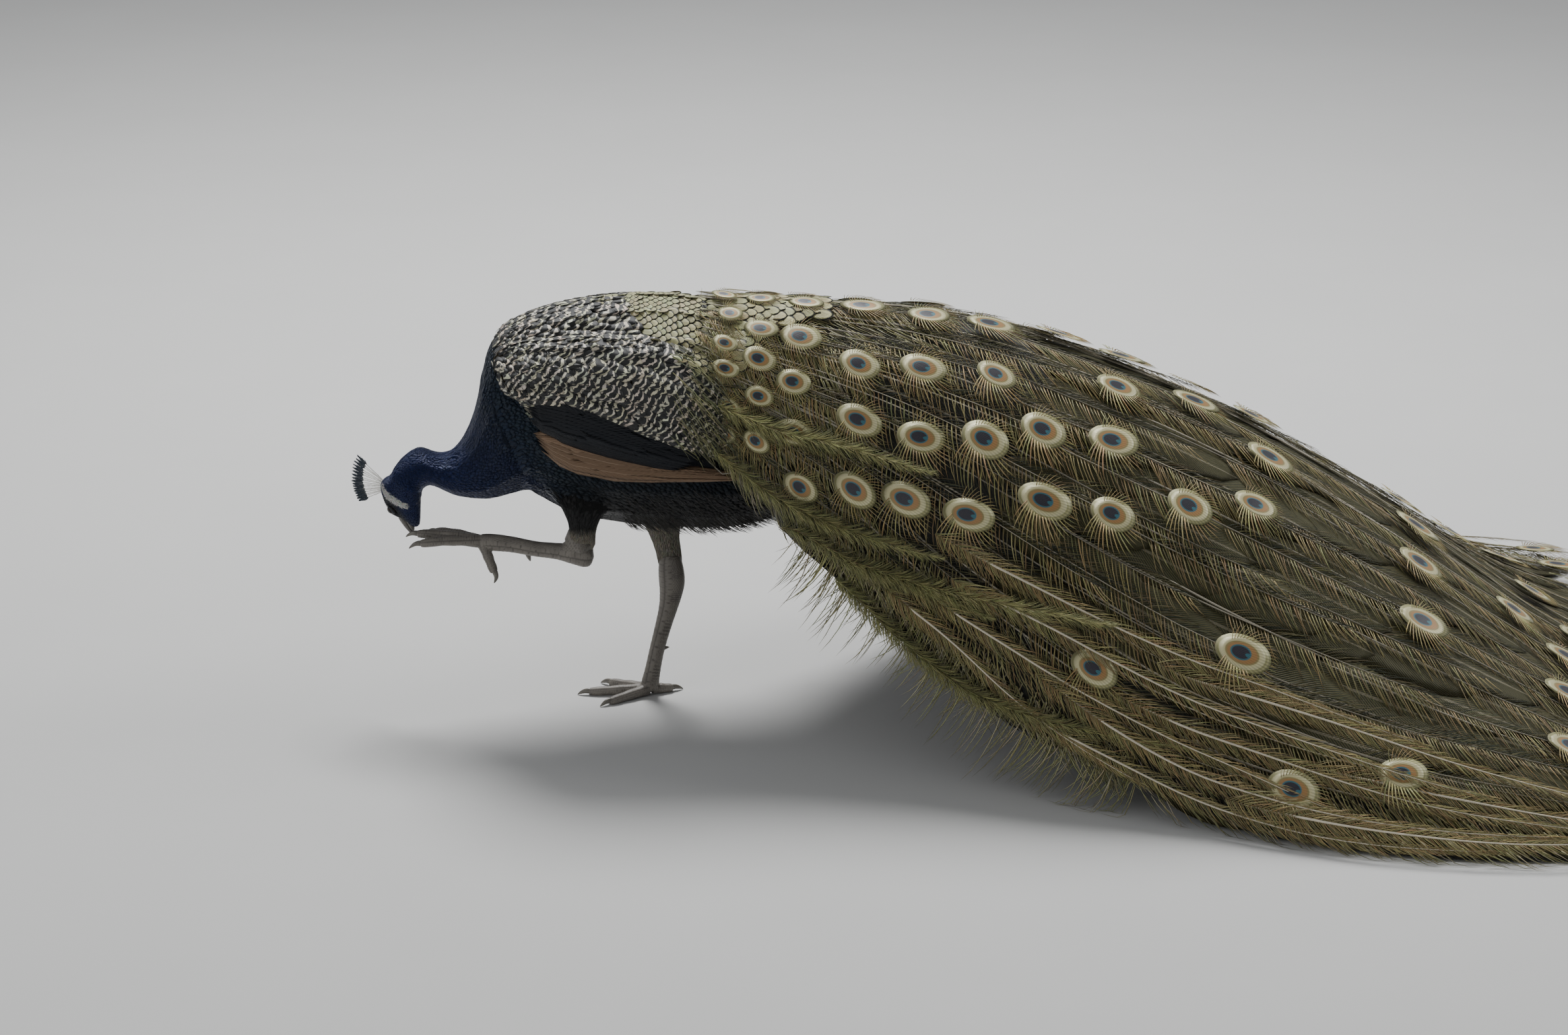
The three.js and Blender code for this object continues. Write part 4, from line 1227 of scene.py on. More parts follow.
def with_nostrils(where):
    head = in_head(where)
    for side in (-1, 1):
        away = (head - [19, side * 5.2, 3.4]) / [3.4, 3.0, 1.3]
        head[:, 1] -= side * 1.1 * np.exp(-(away ** 2).sum(axis=1))
    return np.array([from_head(*p) for p in head])


def bill():
    horn = horn_material("bill horn", (0.035, 0.032, 0.030), (0.16, 0.145, 0.125))
    for name, source, levels in (("bill_top", "bill_upper", 3), ("bill_bottom", "bill_lower", 2)):
        made = new_object(name, node_mesh(source))
        made.modifiers.new("round", "SUBSURF").levels = levels
        made = baked(made, name)
        if name == "bill_top":
            place_points(made.data, with_nostrils(coordinates(made.data)))
        smooth_faces(made.data)
        show(made, horn, [source])


def tube(line, radii, sides=6):
    """Points of a round tube that ends in points."""
    line = np.asarray(line, dtype=float)
    runs = unit(np.gradient(line, axis=0))
    guide = np.array((0.0, 0.0, 1.0)) if abs(runs[0][2]) < 0.9 else np.array((1.0, 0.0, 0.0))
    points = [line[0]]
    for place, run, radius in zip(line[1:-1], runs[1:-1], radii[1:-1]):
        a = unit(np.cross(run, guide))
        b = np.cross(a, run)
        for k in range(sides):
            turn = math.tau * k / sides
            points.append(place + (a * math.cos(turn) + b * math.sin(turn)) * radius)
    return points + [line[-1]]


def many_tubes(name, tubes, material, sides=6, nodes=()):
    """One piece of many tubes, with a tint per tube; tubes are (line, radii, colour)."""
    points, faces, tints, bake = [], [], [], []
    for index, (line, radii, colour) in enumerate(tubes):
        p = tube(line, radii, sides)
        faces += capped(len(line) - 2, sides, len(points))
        points += p
        tints += [(*colour, 1)] * len(p)
        bake += [((index + 0.5 + 0.3 * math.cos(i)) / len(tubes), 0.02 + 0.96 * i / len(p)) for i in range(len(p))]
    made = coloured_piece(name, points, faces, bake, tints)
    show(made, material, nodes)
    return made


CREST_PLUMES, FAN_BARBS, SHAFT_BARBS, SHAFT_STEPS = 17, 44, 26, 12
CREST_CELLS = 80
# Tips of the fan's plumes from the rear to the front, in head coordinates, and its base corners.
CREST_TIPS = np.array([(-71.0, 0.0, 42.5), (-56.1, 3.1, 59.1), (-38.4, 6.3, 67.5), (-24.8, 8.4, 70.0),
                       (-11.7, 10.0, 67.0)])
CREST_BASE = np.array([(-36.5, 0.0, 11.5), (-20.5, 0.0, 17.5)])


def crest():
    tubes, barbs = [], []
    for i in range(CREST_PLUMES):
        share = i / (CREST_PLUMES - 1)
        base = CREST_BASE[0] + (CREST_BASE[1] - CREST_BASE[0]) * share
        tip = catmull(CREST_TIPS, np.array([share]))[0]
        length = float(np.linalg.norm(tip - base)) * (0.985 + 0.03 * dice.random())
        runs = unit(tip - base)
        beside = unit(np.cross(runs, unit(np.cross(CREST_TIPS[-1] - CREST_TIPS[0], runs))))
        facing = unit(np.cross(runs, beside))

        def at(along, out=0.0, off=0.0):
            bow = 1.2 * math.sin(i * 2.4) * (along / length) * (1 - along / length)
            return np.array(from_head(*(base + runs * along + beside * (out + bow) + facing * (off + bow))))

        steps, last = np.arange(SHAFT_STEPS), SHAFT_STEPS - 1
        line = [at(length * (j / last * 0.97 - 0.08)) for j in steps]
        tubes.append((line, MM * (0.46 - 0.24 * steps / last), CREST_SHAFT))
        face = unit(at(length, 0, 1) - at(length, 0, 0))

        def grow(root, end, reach, wide, tint):
            barbs.append((root, end - root, face, reach * MM * np.array((wide, 1, 1.5)), tint))

        for k in range(FAN_BARBS):
            side = -1 if k % 2 else 1
            step = (k // 2) / (FAN_BARBS // 2 - 1)
            along = length * (0.66 + 0.32 * step)
            reach = (6.6 - 2.8 * step ** 3) * (0.90 + 0.2 * dice.random())
            angle = math.radians(34 - 24 * step)
            end = at(along - 1 + math.cos(angle) * reach, side * math.sin(angle) * reach, 1.2 * (dice.random() - 0.5))
            grow(at(along - 1), end, reach, 1.5, TIP_TEAL)
        for k in range(SHAFT_BARBS):
            side = -1 if k % 2 else 1
            along = length * (0.04 + 0.66 * (k // 2) / (SHAFT_BARBS // 2))
            reach = 3.6 + 1.6 * dice.random()
            end = at(along + 3.6, side * (0.5 + 1.3 * dice.random()), 1.6 * (dice.random() - 0.5))
            grow(at(along), end, reach, 0.62, DOWN_WHITE)
    many_tubes("crest_shafts", tubes, fibre_material("feather shafts", 0.4, 0.35), 5, ["crest"])
    cell = np.arange(len(barbs))
    root = np.c_[0.05 + 0.9 * (cell // CREST_CELLS) / CREST_PLUMES, 0.05 + 0.9 * (cell % CREST_CELLS) / CREST_CELLS]
    spots, aims, overs, sizes, tints = (np.array(column) for column in zip(*barbs))
    scatter("crest_tips", barb("crest barb", 0.06, 0.02, 0.13, 0.03, steps=2),
            fibre_material("crest barbs", 0.5, metallic=0.1), spots, aims, overs, sizes, tinted(tints, 0.15), root)


# ---------------------------------------------------------------- legs
def rod(stations, squash=1.0, sides=18, rings=34):
    """A closed limb through stations (x, y, z, radius) in millimetres, rounded at its ends."""
    t = np.linspace(0, 1, rings)
    made = catmull(np.array(stations, dtype=float), t)
    centre, radius = made[:, :3], made[:, 3]
    length = np.linalg.norm(np.diff(centre, axis=0), axis=1).sum()
    near_end = np.minimum(t, 1 - t) * length / np.maximum(radius * 0.9, 0.1)
    radius = radius * np.sqrt(1 - (1 - np.clip(near_end, 0, 1)) ** 2)
    runs = unit(np.gradient(centre, axis=0))
    aside = unit(np.array((0.0, 1.0, 0.0)) - runs * runs[:, 1:2])
    above = np.cross(aside, runs)
    points = [tuple(centre[0] * MM)]
    for i in range(1, rings - 1):
        for a in np.linspace(0, math.tau, sides, endpoint=False):
            points.append(tuple((centre[i] + aside[i] * (radius[i] * squash * math.sin(a))
                                 + above[i] * (radius[i] * math.cos(a))) * MM))
    points.append(tuple(centre[-1] * MM))
    return points, capped(rings - 2, sides, turned=True)


def rods_mesh(name, rods):
    points, faces = [], []
    for p, f in rods:
        faces += [tuple(len(points) + i for i in face) for face in f]
        points += p
    return closed(name, points, faces)


def claw_horn(name, base, along, bend, length, curve, material):
    """A curved claw that springs from inside the end of its toe."""
    base, along, bend = np.array(base, dtype=float), unit(np.array(along, dtype=float)), np.array(bend, dtype=float)
    shape = rod([(*(base + along * distance + bend * drop), radius) for distance, drop, radius in (
        (-7, -0.5, 3.4), (-1, -0.8, 3.7), (length * 0.35, -0.2, 3.0), (length * 0.7, curve * 0.42, 1.9),
        (length, curve, 0.45))], squash=0.82, sides=14, rings=26)
    made = new_object(name + "_horn", rods_mesh(name, [shape]))
    where = coordinates(made.data)
    where[:, 2] = np.maximum(where[:, 2], 0.0)
    place_points(made.data, where)
    show(made, material, [name])


PLATE_HALF_ANGLE = 0.9


def scute_skin(name, nodes, rods, lines, material):
    """Leg skin with rows of overlapping plates in front and small scales behind, along its lines."""
    made = remeshed(name, rods_mesh(name, rods), voxel=LEG_GRID, smooth=2, depth=0.0, grow=0.0)
    where, normals = coordinates(made.data), facings(made.data)
    best = np.full(len(where), np.inf)
    lift, seam = np.zeros(len(where)), np.zeros(len(where))
    for line, front, length, pitch in lines:
        t, runs, out, centre = Lie(MM * np.array(line, dtype=float), 120).near(where)
        toward = unit(where - centre)
        ahead = np.array(front) / np.linalg.norm(front)
        turn = np.arctan2((toward * np.cross(runs, ahead)).sum(axis=1), toward @ ahead)
        beside = np.abs(turn)
        face = soft_step(np.cos(turn), -0.15, 0.05)
        column = np.where(beside < PLATE_HALF_ANGLE, 0.0, 0.5)
        phase = (t * length / pitch + column + 0.08 * np.sin(turn * 3)) % 1.0
        groove = np.exp(-((phase - 0.03) / 0.08) ** 2) + np.exp(-((beside - PLATE_HALF_ANGLE) / 0.10) ** 2)
        groove = np.clip(groove, 0, 1)
        plate = 0.34 * (1 - phase) ** 0.6 - 0.36 * groove
        row = t * length / (pitch * 0.55)
        ring = turn * 4.2 + 0.5 * (np.floor(row) % 2)
        pebble = np.cos(math.pi * (row % 1.0 - 0.5)) * np.cos(math.pi * (ring % 1.0 - 0.5))
        value = MM * (face * plate + (1 - face) * (0.24 * pebble - 0.14))
        gap = face * groove + (1 - face) * soft_step(0.45 - pebble, 0, 0.4)
        mine = out < best
        best[mine], lift[mine], seam[mine] = out[mine], value[mine], gap[mine]
    moved = where + normals * (lift * soft_step(where[:, 2], 0.0012, 0.004))[:, None]
    moved[:, 2] = np.maximum(moved[:, 2], 0.0)
    place_points(made.data, moved)
    tint_points(made.data, np.repeat(seam, 4))
    show(made, material, nodes)


def leg_material():
    look = Finish("leg scales", 0.5, sheen=0.1)
    pits = look.grain(900, 4)
    colour = blend(look.grain(55, 5), (0.085, 0.075, 0.065), (0.29, 0.265, 0.225))
    colour = blend(pits * 0.35, colour, (0.10, 0.085, 0.07))
    colour = blend(look.tint("Fac") * 0.65, colour, (0.035, 0.030, 0.026))
    return look.painted(colour, pits, 0.0002)


# Legs and toes, in millimetres: stations are x, y, z and radius.
STANDING_SHANK = [
    (27, 16, 192, 11), (28, 15.5, 176, 15.2), (29, 15, 162, 16.7), (29.5, 14.5, 149, 16.6), (28, 13.5, 134, 14.6),
    (24.5, 12, 116, 12.2), (18, 9.5, 92, 10.6), (10, 6, 62, 9.8), (4, 2, 34, 10.2), (0, 0, 14, 11.5), (-1, 0, 6, 9),
]
RAISED_SHANK = [
    (-66, -57, 213, 10.5), (-76, -57, 214, 15.5), (-92, -56, 216, 13.8), (-112, -54.5, 218.5, 10.8),
    (-140, -52.5, 221, 10), (-170, -50, 226, 10.4), (-195, -48, 228, 11.2), (-214, -47, 228, 10.4),
]
RAISED_THIGH_END = [
    (-80, -58, 258, 8), (-83, -57.5, 246, 14.5), (-86, -57, 234, 16.5), (-91, -56.5, 224, 15.5),
    (-103, -56, 218, 11.5), (-116, -55, 218, 8),
]
RAISED_HOCK = [(-82, -57, 243, 10), (-82, -57, 231, 15.0), (-81, -57, 217, 14.2)]
TOE_STATIONS = ((0.0, 8.2), (0.14, 7.6), (0.32, 6.5), (0.48, 6.8), (0.64, 5.9), (0.80, 6.1), (0.92, 5.4), (1.0, 4.3))
STANDING_TOES = {"inner": (150, 62), "middle": (181, 80), "outer": (214, 62), "hind": (22, 32)}
RAISED_TOES = {"inner": (-285, -62, 231), "middle": (-290, -47, 239), "outer": (-268, -30, 236),
               "hind": (-192, -57, 190)}
RAISED_JOINT = np.array((-207.0, -47.0, 228.0))
SKYWARD, FRONT, UNDER = (0.0, 0.0, 1.0), (-1.0, 0.0, 0.1), (0.0, -0.5, -1.0)
SHANK_PLATE, TOE_PLATE, CLAW_LENGTH = 4.4, 3.4, 14


def legs():
    scales = leg_material()
    horn = horn_material("claw horn", (0.030, 0.027, 0.024), (0.24, 0.22, 0.18))
    rods = [rod(STANDING_SHANK, 0.80)]
    lines = [([p[:3] for p in STANDING_SHANK], FRONT, 150, SHANK_PLATE)]
    for name, (heading, length) in STANDING_TOES.items():
        c, s = math.cos(math.radians(heading)), math.sin(math.radians(heading))
        rods.append(rod([(c * length * t, s * length * t, 8.6 - 4.4 * t, r) for t, r in TOE_STATIONS]))
        lines.append(([(0, 0, 9), (c * length, s * length, 5)], SKYWARD, length, TOE_PLATE))
        claw_horn(f"claw_right_{name}", (c * length, s * length, 5.0), (c, s, 0.0), (0, 0, -1), CLAW_LENGTH, 4.4, horn)
    scute_skin("leg_right", ["shank_right", "foot_right"], rods, lines, scales)

    rods = [rod(RAISED_SHANK, 0.80), rod(RAISED_THIGH_END, 0.90), rod(RAISED_HOCK, 1.22)]
    lines = [([p[:3] for p in RAISED_SHANK], UNDER, 145, SHANK_PLATE)]
    for name, tip in RAISED_TOES.items():
        away = np.array(tip, dtype=float) - RAISED_JOINT
        hangs = name == "hind"
        lift = np.array((0.0, 0.0, 0.0 if hangs else 3.0))
        rods.append(rod([(*(RAISED_JOINT + away * t + lift * math.sin(math.pi * t)), r) for t, r in TOE_STATIONS]))
        lines.append(([RAISED_JOINT, tip], FRONT if hangs else SKYWARD, float(np.linalg.norm(away)), TOE_PLATE))
        claw_horn(f"claw_left_{name}", tip, away, (-1, 0, 0) if hangs else (0, 0, -1), CLAW_LENGTH, 6.0, horn)
    scute_skin("leg_left", ["shank_left", "foot_left"], rods, lines, scales)
    claw_horn("spur_left", (-150, -50, 213), (0.25, 0.3, -1), (0, 0, 0), 12, 0, horn)
    claw_horn("spur_right", (14, 5, 62), (1, 0.25, 0.1), (0, 0, 0), 12, 0, horn)


# ---------------------------------------------------------------- train
# Stations of the draped train, in millimetres: place behind the standing foot, half-width,
# height of the ridge, height of the side edges, and how round or tented it arches.
DRAPE = np.array([
    (50, 104, 540, 390, 0.50), (150, 140, 530, 300, 0.52), (250, 185, 523, 225, 0.58),
    (350, 245, 514, 150, 0.66), (450, 308, 492, 96, 0.76), (550, 362, 458, 52, 0.85),
    (650, 410, 417, 22, 0.93), (750, 455, 368, 14, 1.00), (850, 492, 310, 12, 1.05),
    (950, 512, 245, 12, 1.10), (1050, 518, 172, 12, 1.10), (1150, 512, 100, 12, 1.10),
    (1250, 490, 46, 12, 1.10), (1350, 455, 22, 12, 1.10), (1450, 410, 15, 12, 1.10),
])
TRAIN_START, TRAIN_END = 0.062, 1.42
SIDE_SWEEP = 0.19


def drape(x, v):
    """Points of the train's surface: x along the bird, v from -1 (left edge) to 1 (right edge)."""
    x, v = np.broadcast_arrays(np.asarray(x, dtype=float), np.asarray(v, dtype=float))
    t = (x / MM - DRAPE[0, 0]) / (DRAPE[-1, 0] - DRAPE[0, 0])
    half, ridge, edge, arch = np.moveaxis(catmull(DRAPE[:, 1:], t), -1, 0)
    fall = np.clip(1 - v * v, 0, 1) ** arch
    beyond = np.maximum(np.abs(v) - 1, 0) * half * 0.9
    return np.stack([x, half * v * MM, (edge + (ridge - edge) * fall - beyond) * MM], axis=-1)


def drape_axes(x, v):
    """Unit vectors along the train, across it toward the right, and outward."""
    inside = np.clip(v, -0.975, 0.975)
    along = unit(drape(x + 0.004, inside) - drape(x - 0.004, inside))
    across = unit(drape(x, inside + 0.01) - drape(x, inside - 0.01))
    return along, along_surface(across, along), unit(np.cross(along, across))


def reach_at(x, v):
    """The x of a row of tips at v: the rows are swept forward at the sides."""
    return x - SIDE_SWEEP * (x / TRAIN_END) ** 1.5 * v * v


# Rows of feathers: x of the tips on the ridge, distance between them, eye radius across, and
# how many of the feathers end in an eye.
EYE_ROWS = (
    (0.104, 0.034, 0.0120, 1.0), (0.146, 0.046, 0.0145, 1.0), (0.200, 0.060, 0.0175, 1.0),
    (0.268, 0.074, 0.0200, 0.95), (0.345, 0.082, 0.0215, 0.9), (0.425, 0.088, 0.0220, 0.8),
    (0.505, 0.090, 0.0220, 0.70), (0.590, 0.094, 0.0220, 0.6), (0.680, 0.096, 0.0220, 0.55),
    (0.775, 0.099, 0.0220, 0.55), (0.870, 0.102, 0.0220, 0.55), (0.970, 0.104, 0.0220, 0.55),
    (1.070, 0.104, 0.0220, 0.6), (1.172, 0.104, 0.0220, 0.65), (1.275, 0.102, 0.0220, 0.7),
    (1.372, 0.098, 0.0220, 0.85),
)


def tips():
    """Where each train feather ends: (x, v, eye radius, row, whether it has an eye)."""
    found = []
    for row, (x, gap, radius, share) in enumerate(EYE_ROWS):
        v = np.linspace(-0.97, 0.97, 241)
        arc = np.r_[0, np.cumsum(np.linalg.norm(np.diff(drape(reach_at(x, v), v), axis=0), axis=1))]
        count = int(arc[-1] / gap)
        for k in range(count):
            place = (k + 0.25 + 0.5 * (row % 2)) / count * arc[-1] + gap * 0.22 * (dice.random() - 0.5)
            side = float(np.interp(place, arc, v))
            end = reach_at(x, side) + (0.014 + 0.03 * x) * (dice.random() - 0.5)
            flank = float(soft_step(end, 0.36, 0.50) * soft_step(abs(side), 0.40, 0.62))
            found.append((min(end, TRAIN_END - 0.035), side, radius * (0.92 + 0.16 * dice.random()), row,
                          dice.random() < share * (1 - 0.55 * flank)))
    return found


def lift_over(x, tip):
    """How high a feather lies over the surface: shorter feathers lie on top near their ends."""
    return 0.0015 + (0.0045 + 0.0045 * soft_step(tip, 0.15, 0.6)) * np.exp(-np.maximum(tip - x, 0) / 0.080)


FLOOR_LAYER = 0.004


def above_floor(mesh):
    """Presses what would dip under the floor into a thin layer on it, keeping its order."""
    where = coordinates(mesh)
    low = where[:, 2] < FLOOR_LAYER
    room = FLOOR_LAYER * 0.8
    where[low, 2] = FLOOR_LAYER - room * (1 - np.exp((where[low, 2] - FLOOR_LAYER) / room))
    place_points(mesh, where)


def eyespot_material():
    """The eye of a train feather: rings of gold, copper and blue-green round a dark heart."""
    look = Finish("train feather eyes", 0.42, metallic=0.15, sheen=0.05)
    x, y = ((axis - 0.5) * 2.0 for axis in look.axes(look.vane_map()))

    def oval(centre, wide, tall):
        away = node(look.tree, "ShaderNodeCombineXYZ", {0: x / wide, 1: (y - centre) / tall})
        return look.flow("ShaderNodeVectorMath", "Value", {0: away.outputs[0]}, operation="LENGTH")

    fibre = look.grain(700, 4)
    rays = sine(maths("ARCTAN2", x, y + 1.1) * 74.0)
    colour = ramp(oval(-0.04, 0.98, 1.0), (0.0, (0.30, 0.15, 0.05)), (0.50, (0.38, 0.20, 0.07)),
                  (0.58, (0.30, 0.24, 0.09)), (0.64, (0.66, 0.61, 0.34)), (0.80, (0.74, 0.70, 0.42)),
                  (0.86, (0.42, 0.41, 0.18)), (0.93, (0.60, 0.57, 0.30)), (1.0, (0.36, 0.36, 0.15)))
    teal = ramp(oval(-0.10, 0.43, 0.40), (0.86, grey(1)), (1.0, grey(0)))
    heart = ramp(oval(-0.10, 0.35, 0.34), (0.86, grey(1)), (1.0, grey(0)))
    notch = ramp(oval(0.20, 0.12, 0.16), (0.8, grey(0)), (1.0, grey(1)))
    outer = ramp(oval(-0.04, 0.98, 1.0), (0.30, grey(0.06)), (1.0, grey(0.42)))
    colour = blend(teal, colour, (0.015, 0.14, 0.19))
    colour = blend(heart * notch, colour, (0.006, 0.006, 0.030))
    colour = blend(fibre * 0.30, colour, (0.12, 0.11, 0.04))
    colour = blend((rays + 1.0) * 0.5 * outer, colour, grey(0.015))
    return look.painted(colour, rays * 0.3 + fibre, strength=0.5)


def eyespot():
    """A domed egg-shaped disc, 1 in radius, of pressed-together barbs."""
    spokes, rings = 32, (0.34, 0.68, 1.0)
    points, uvs = [(0, 0, 0.10)], [(0.5, 0.5)]
    for r in rings:
        for k in range(spokes):
            s, c = math.sin(math.tau * k / spokes), math.cos(math.tau * k / spokes)
            points.append((s * r, c * r * (1.06 if c > 0 else 1.14), 0.10 - 0.14 * r * r))
            uvs.append((0.5 + 0.5 * s * r, 0.5 + 0.5 * c * r))
    points.append((0, 0, -0.02))
    uvs.append((0.5, 0.5))
    return shape_object(closed("feather eye", points, capped(len(rings), spokes, turned=True), uvs))


# Dense feathers along each flank, from root to tip: the place behind the standing foot and v.
FLANK_FEATHERS = (
    ((0.09, 0.90), (0.17, 0.86), (0.25, 0.80), (0.36, 0.73)),
    ((0.09, 0.99), (0.18, 0.98), (0.26, 0.95), (0.37, 0.88)),
    ((0.17, 1.00), (0.27, 0.98), (0.35, 0.94), (0.43, 0.91)),
    ((0.25, 0.99), (0.36, 0.93), (0.47, 0.86), (0.57, 0.80)),
    ((0.24, 1.00), (0.34, 1.00), (0.46, 0.99), (0.66, 0.92)),
)
# Long bright shafts with open barbs that cross the lower flank.
FLANK_SHAFTS = (
    ((0.30, 0.98), (0.38, 0.975), (0.47, 0.985), (0.60, 0.99)),
    ((0.33, 0.95), (0.47, 0.93), (0.68, 0.92), (0.84, 0.955)),
    ((0.38, 0.90), (0.53, 0.86), (0.78, 0.85), (1.00, 0.88)),
    ((0.44, 0.99), (0.61, 0.98), (0.80, 0.995), (1.00, 1.00)),
    ((0.36, 0.85), (0.52, 0.81), (0.74, 0.78), (0.93, 0.79)),
    ((0.48, 0.94), (0.66, 0.95), (0.86, 0.96), (1.08, 0.97)),
    ((0.56, 0.90), (0.74, 0.89), (0.92, 0.91), (1.13, 0.94)),
    ((0.62, 0.82), (0.82, 0.80), (1.00, 0.82), (1.18, 0.86)),
    ((0.70, 0.97), (0.88, 0.975), (1.06, 0.99), (1.24, 0.99)),
    ((0.80, 0.88), (0.98, 0.89), (1.14, 0.92), (1.30, 0.96)),
)
# Loose barbs of each side: how many; the low end, span and power of x, v, droop and length; their
# tone; how far they point to the rear; and whether they follow the rim at the train's end.
LOOSE_BARBS = (
    (2100, (0.075, 0.20), (0.42, 0.57, 0.8), (0.45, 0.55), (0.026, 0.024), 0.75, 0.45, False),
    (1200, (0.24, 1.1, 1.3), (0.90, 0.10), (0.25, 0.50), (0.030, 0.036), 0.8, 0.8, False),
    (450, (0.17, 0.20), (0.0, 0.45), (0.10, 0.2), (0.026, 0.018), 0.75, 0.9, False),
    (420, (1.31, 0.075), (0.0, 0.95), (0.02, 0.06), (0.028, 0.026), 0.8, 1.3, True),
    (900, (0.11, 0.47), (0.97, 0.03), (0.9, 0.8), (0.018, 0.016), 0.5, 0.25, False),
)
WISPS = (330, (0.20, 0.40), (0.96, 0.04), (0.7, 0.8), (0.050, 0.065), 1.0, -0.25, False)
# The most barbs in one piece, the distance between those of a dense flank feather, and the samples
# along a shaft in the train, in a dense flank feather, in its brush and in an open flank shaft.
MOST_BARBS, BRUSH_GAP = 11800, 0.00030
SHAFT_SAMPLES, DENSE_SAMPLES, BRUSH_SAMPLES, OPEN_SAMPLES = 16, 22, 40, 26
# Feathers whose tips end in front of this show no shaft, and near the ridge no barbs either.
SHOWS_SHAFT, NEAR_RIDGE = 0.20, 0.30


class Barbs:
    """Barbs gathered for each side: places, aims, facings, sizes, colours and roots."""

    def __init__(self):
        self.rows = {"left": [], "right": []}

    def add(self, side, where, aim, up, size, colour, surface=None):
        """Adds barbs to a side; surface gives their places on the train where they stand off it."""
        root = train_root(where if surface is None else surface)
        self.rows["right" if side > 0 else "left"].append((where, aim, up, size, colour, root))

    def pieces(self, prefix, shapes, material):
        for word, rows in self.rows.items():
            where, aim, up, size, colour, root = (np.concatenate(column) for column in zip(*rows))
            order = np.argsort(where[:, 0], kind="stable")
            count = max(1, math.ceil(len(order) / MOST_BARBS))
            for i, part in enumerate(np.array_split(order, count)):
                made = scatter(f"{prefix}_{word}_{i + 1}", shapes[word], material, where[part],
                               aim[part], up[part], size[part], tinted(colour[part], 0.35), root[part])
                above_floor(made.data)


def train_root(where):
    """Where a place of the train falls on its unwrap."""
    return np.c_[where[:, 0] / 1.5 + 0.02, 0.5 + where[:, 1] * 0.62 + 0.25 * (0.5 - where[:, 2]) * np.sign(where[:, 1])]


def barb_rows(barbs, x, v, lift, reach, angle, side, droop=0.0, dark=0.5, wide=1.0):
    """Barbs down one side of a shaft, given by points along it from near the tip inward."""
    place, out, n = drape(x, v), drape_axes(x, v)[2], len(x)
    along = unit(-np.gradient(place, axis=0))
    across = unit(np.cross(out, along))
    place = place + out * lift[:, None]
    theta = np.radians(angle + 4 * dice.standard_normal(n))[:, None]
    aim = along * np.cos(theta) + across * side * np.sin(theta)
    aim = aim + out * (0.12 + 0.08 * dice.random((n, 1)))
    aim[:, 2] -= droop * (0.6 + 0.8 * dice.random(n))
    long = reach * (0.85 + 0.3 * dice.random(n))
    colour = BARB_GOLD + (BARB_BRONZE - BARB_GOLD) * dice.random((n, 1))
    # The dark share mixes each barb toward the near-black barb colour: painted shade, heaviest on the close barbs above
    # a shaft.
    colour = colour + (BARB_SHADE - colour) * np.clip(dark + 0.5 * (dice.random((n, 1)) - 0.5), 0, 1)
    size = np.c_[0.045 * wide * (0.8 + 0.4 * dice.random(n)), long, long * 0.9]
    barbs.add(side, place, unit(aim), out, size, colour)


def loose_barbs(barbs, side, count, x, v, droop, long, tone, back, rim, thick=0.034):
    """Hair-like barbs that hang over the surface from scattered places on one side."""
    def strewn(low, span, power=1.0):
        return low + span * dice.random(count) ** power

    if rim:
        v = strewn(*v)
        x = reach_at(strewn(*x), v)
    else:
        x, v = strewn(*x), strewn(*v)
    droop, long = strewn(*droop), strewn(*long)
    along, across, out = drape_axes(x, side * v)
    start = drape(x, side * v) + out * 0.003
    aim = along * (back + 0.3 * dice.random((count, 1))) + across * side * (0.25 + 0.3 * dice.random((count, 1)))
    aim = aim + out * 0.12
    aim[:, 2] -= droop
    colour = BARB_GOLD * tone + (SHAFT_CREAM * 0.7 - BARB_GOLD * tone) * (dice.random((count, 1)) ** 3)
    barbs.add(side, start, unit(aim), out, np.c_[thick * (1 + 0.4 * dice.random(count)), long, long], colour)


def flank_line(stations, side, samples, shift=0.0):
    """A line on the flank through its stations: x, v and how far along it each sample is."""
    t = np.linspace(0, 1, samples)
    line = catmull(np.array(stations, dtype=float), t)
    return line[:, 0] + shift, side * np.minimum(line[:, 1], 1.0), t


def brush(barbs, stations, side, shift, lift):
    """The dense soft barbs all round one flank feather, leaning toward its tip and drooping, painted light where they
    stand out and painted shade where they roll toward the surface.
    """
    line_x, line_v, line_t = flank_line(stations, side, BRUSH_SAMPLES, shift)
    length = float(np.linalg.norm(np.diff(drape(line_x, line_v), axis=0), axis=1).sum())
    n = int(length / BRUSH_GAP)
    t = dice.random(n)

    def at(share):
        return np.interp(share, line_t, line_x), np.interp(share, line_t, line_v)

    place, out = drape(*at(t)), drape_axes(*at(t))[2]
    along = unit(drape(*at(t + 0.02)) - drape(*at(t - 0.02)))
    across = unit(np.cross(out, along))
    roll = np.radians(125 * (2 * dice.random(n) - 1))[:, None]
    lean = np.radians(58 - 22 * t ** 2)[:, None]
    aim = along * np.cos(lean) + (out * np.cos(roll) + across * np.sin(roll)) * np.sin(lean)
    aim[:, 2] -= 0.42
    long = (0.018 + 0.013 * dice.random(n)) * np.sqrt(np.clip(1 - t ** 5, 0.05, 1)) * soft_step(t, -0.12, 0.12)
    # Painted light and shade: a barb that stands straight out is painted bright gold, one rolled toward the surface
    # near-black.
    depth = np.clip(0.5 + 0.5 * np.cos(roll), 0, 1)
    colour = BARB_SHADE * 1.5 + (BARB_GOLD * 1.25 - BARB_SHADE * 1.5) * depth * (0.6 + 0.4 * dice.random((n, 1)))
    barbs.add(side, place + out * lift, unit(aim), unit(out + aim * 0.2), np.c_[np.full(n, 0.024), long, long], colour,
              surface=place)


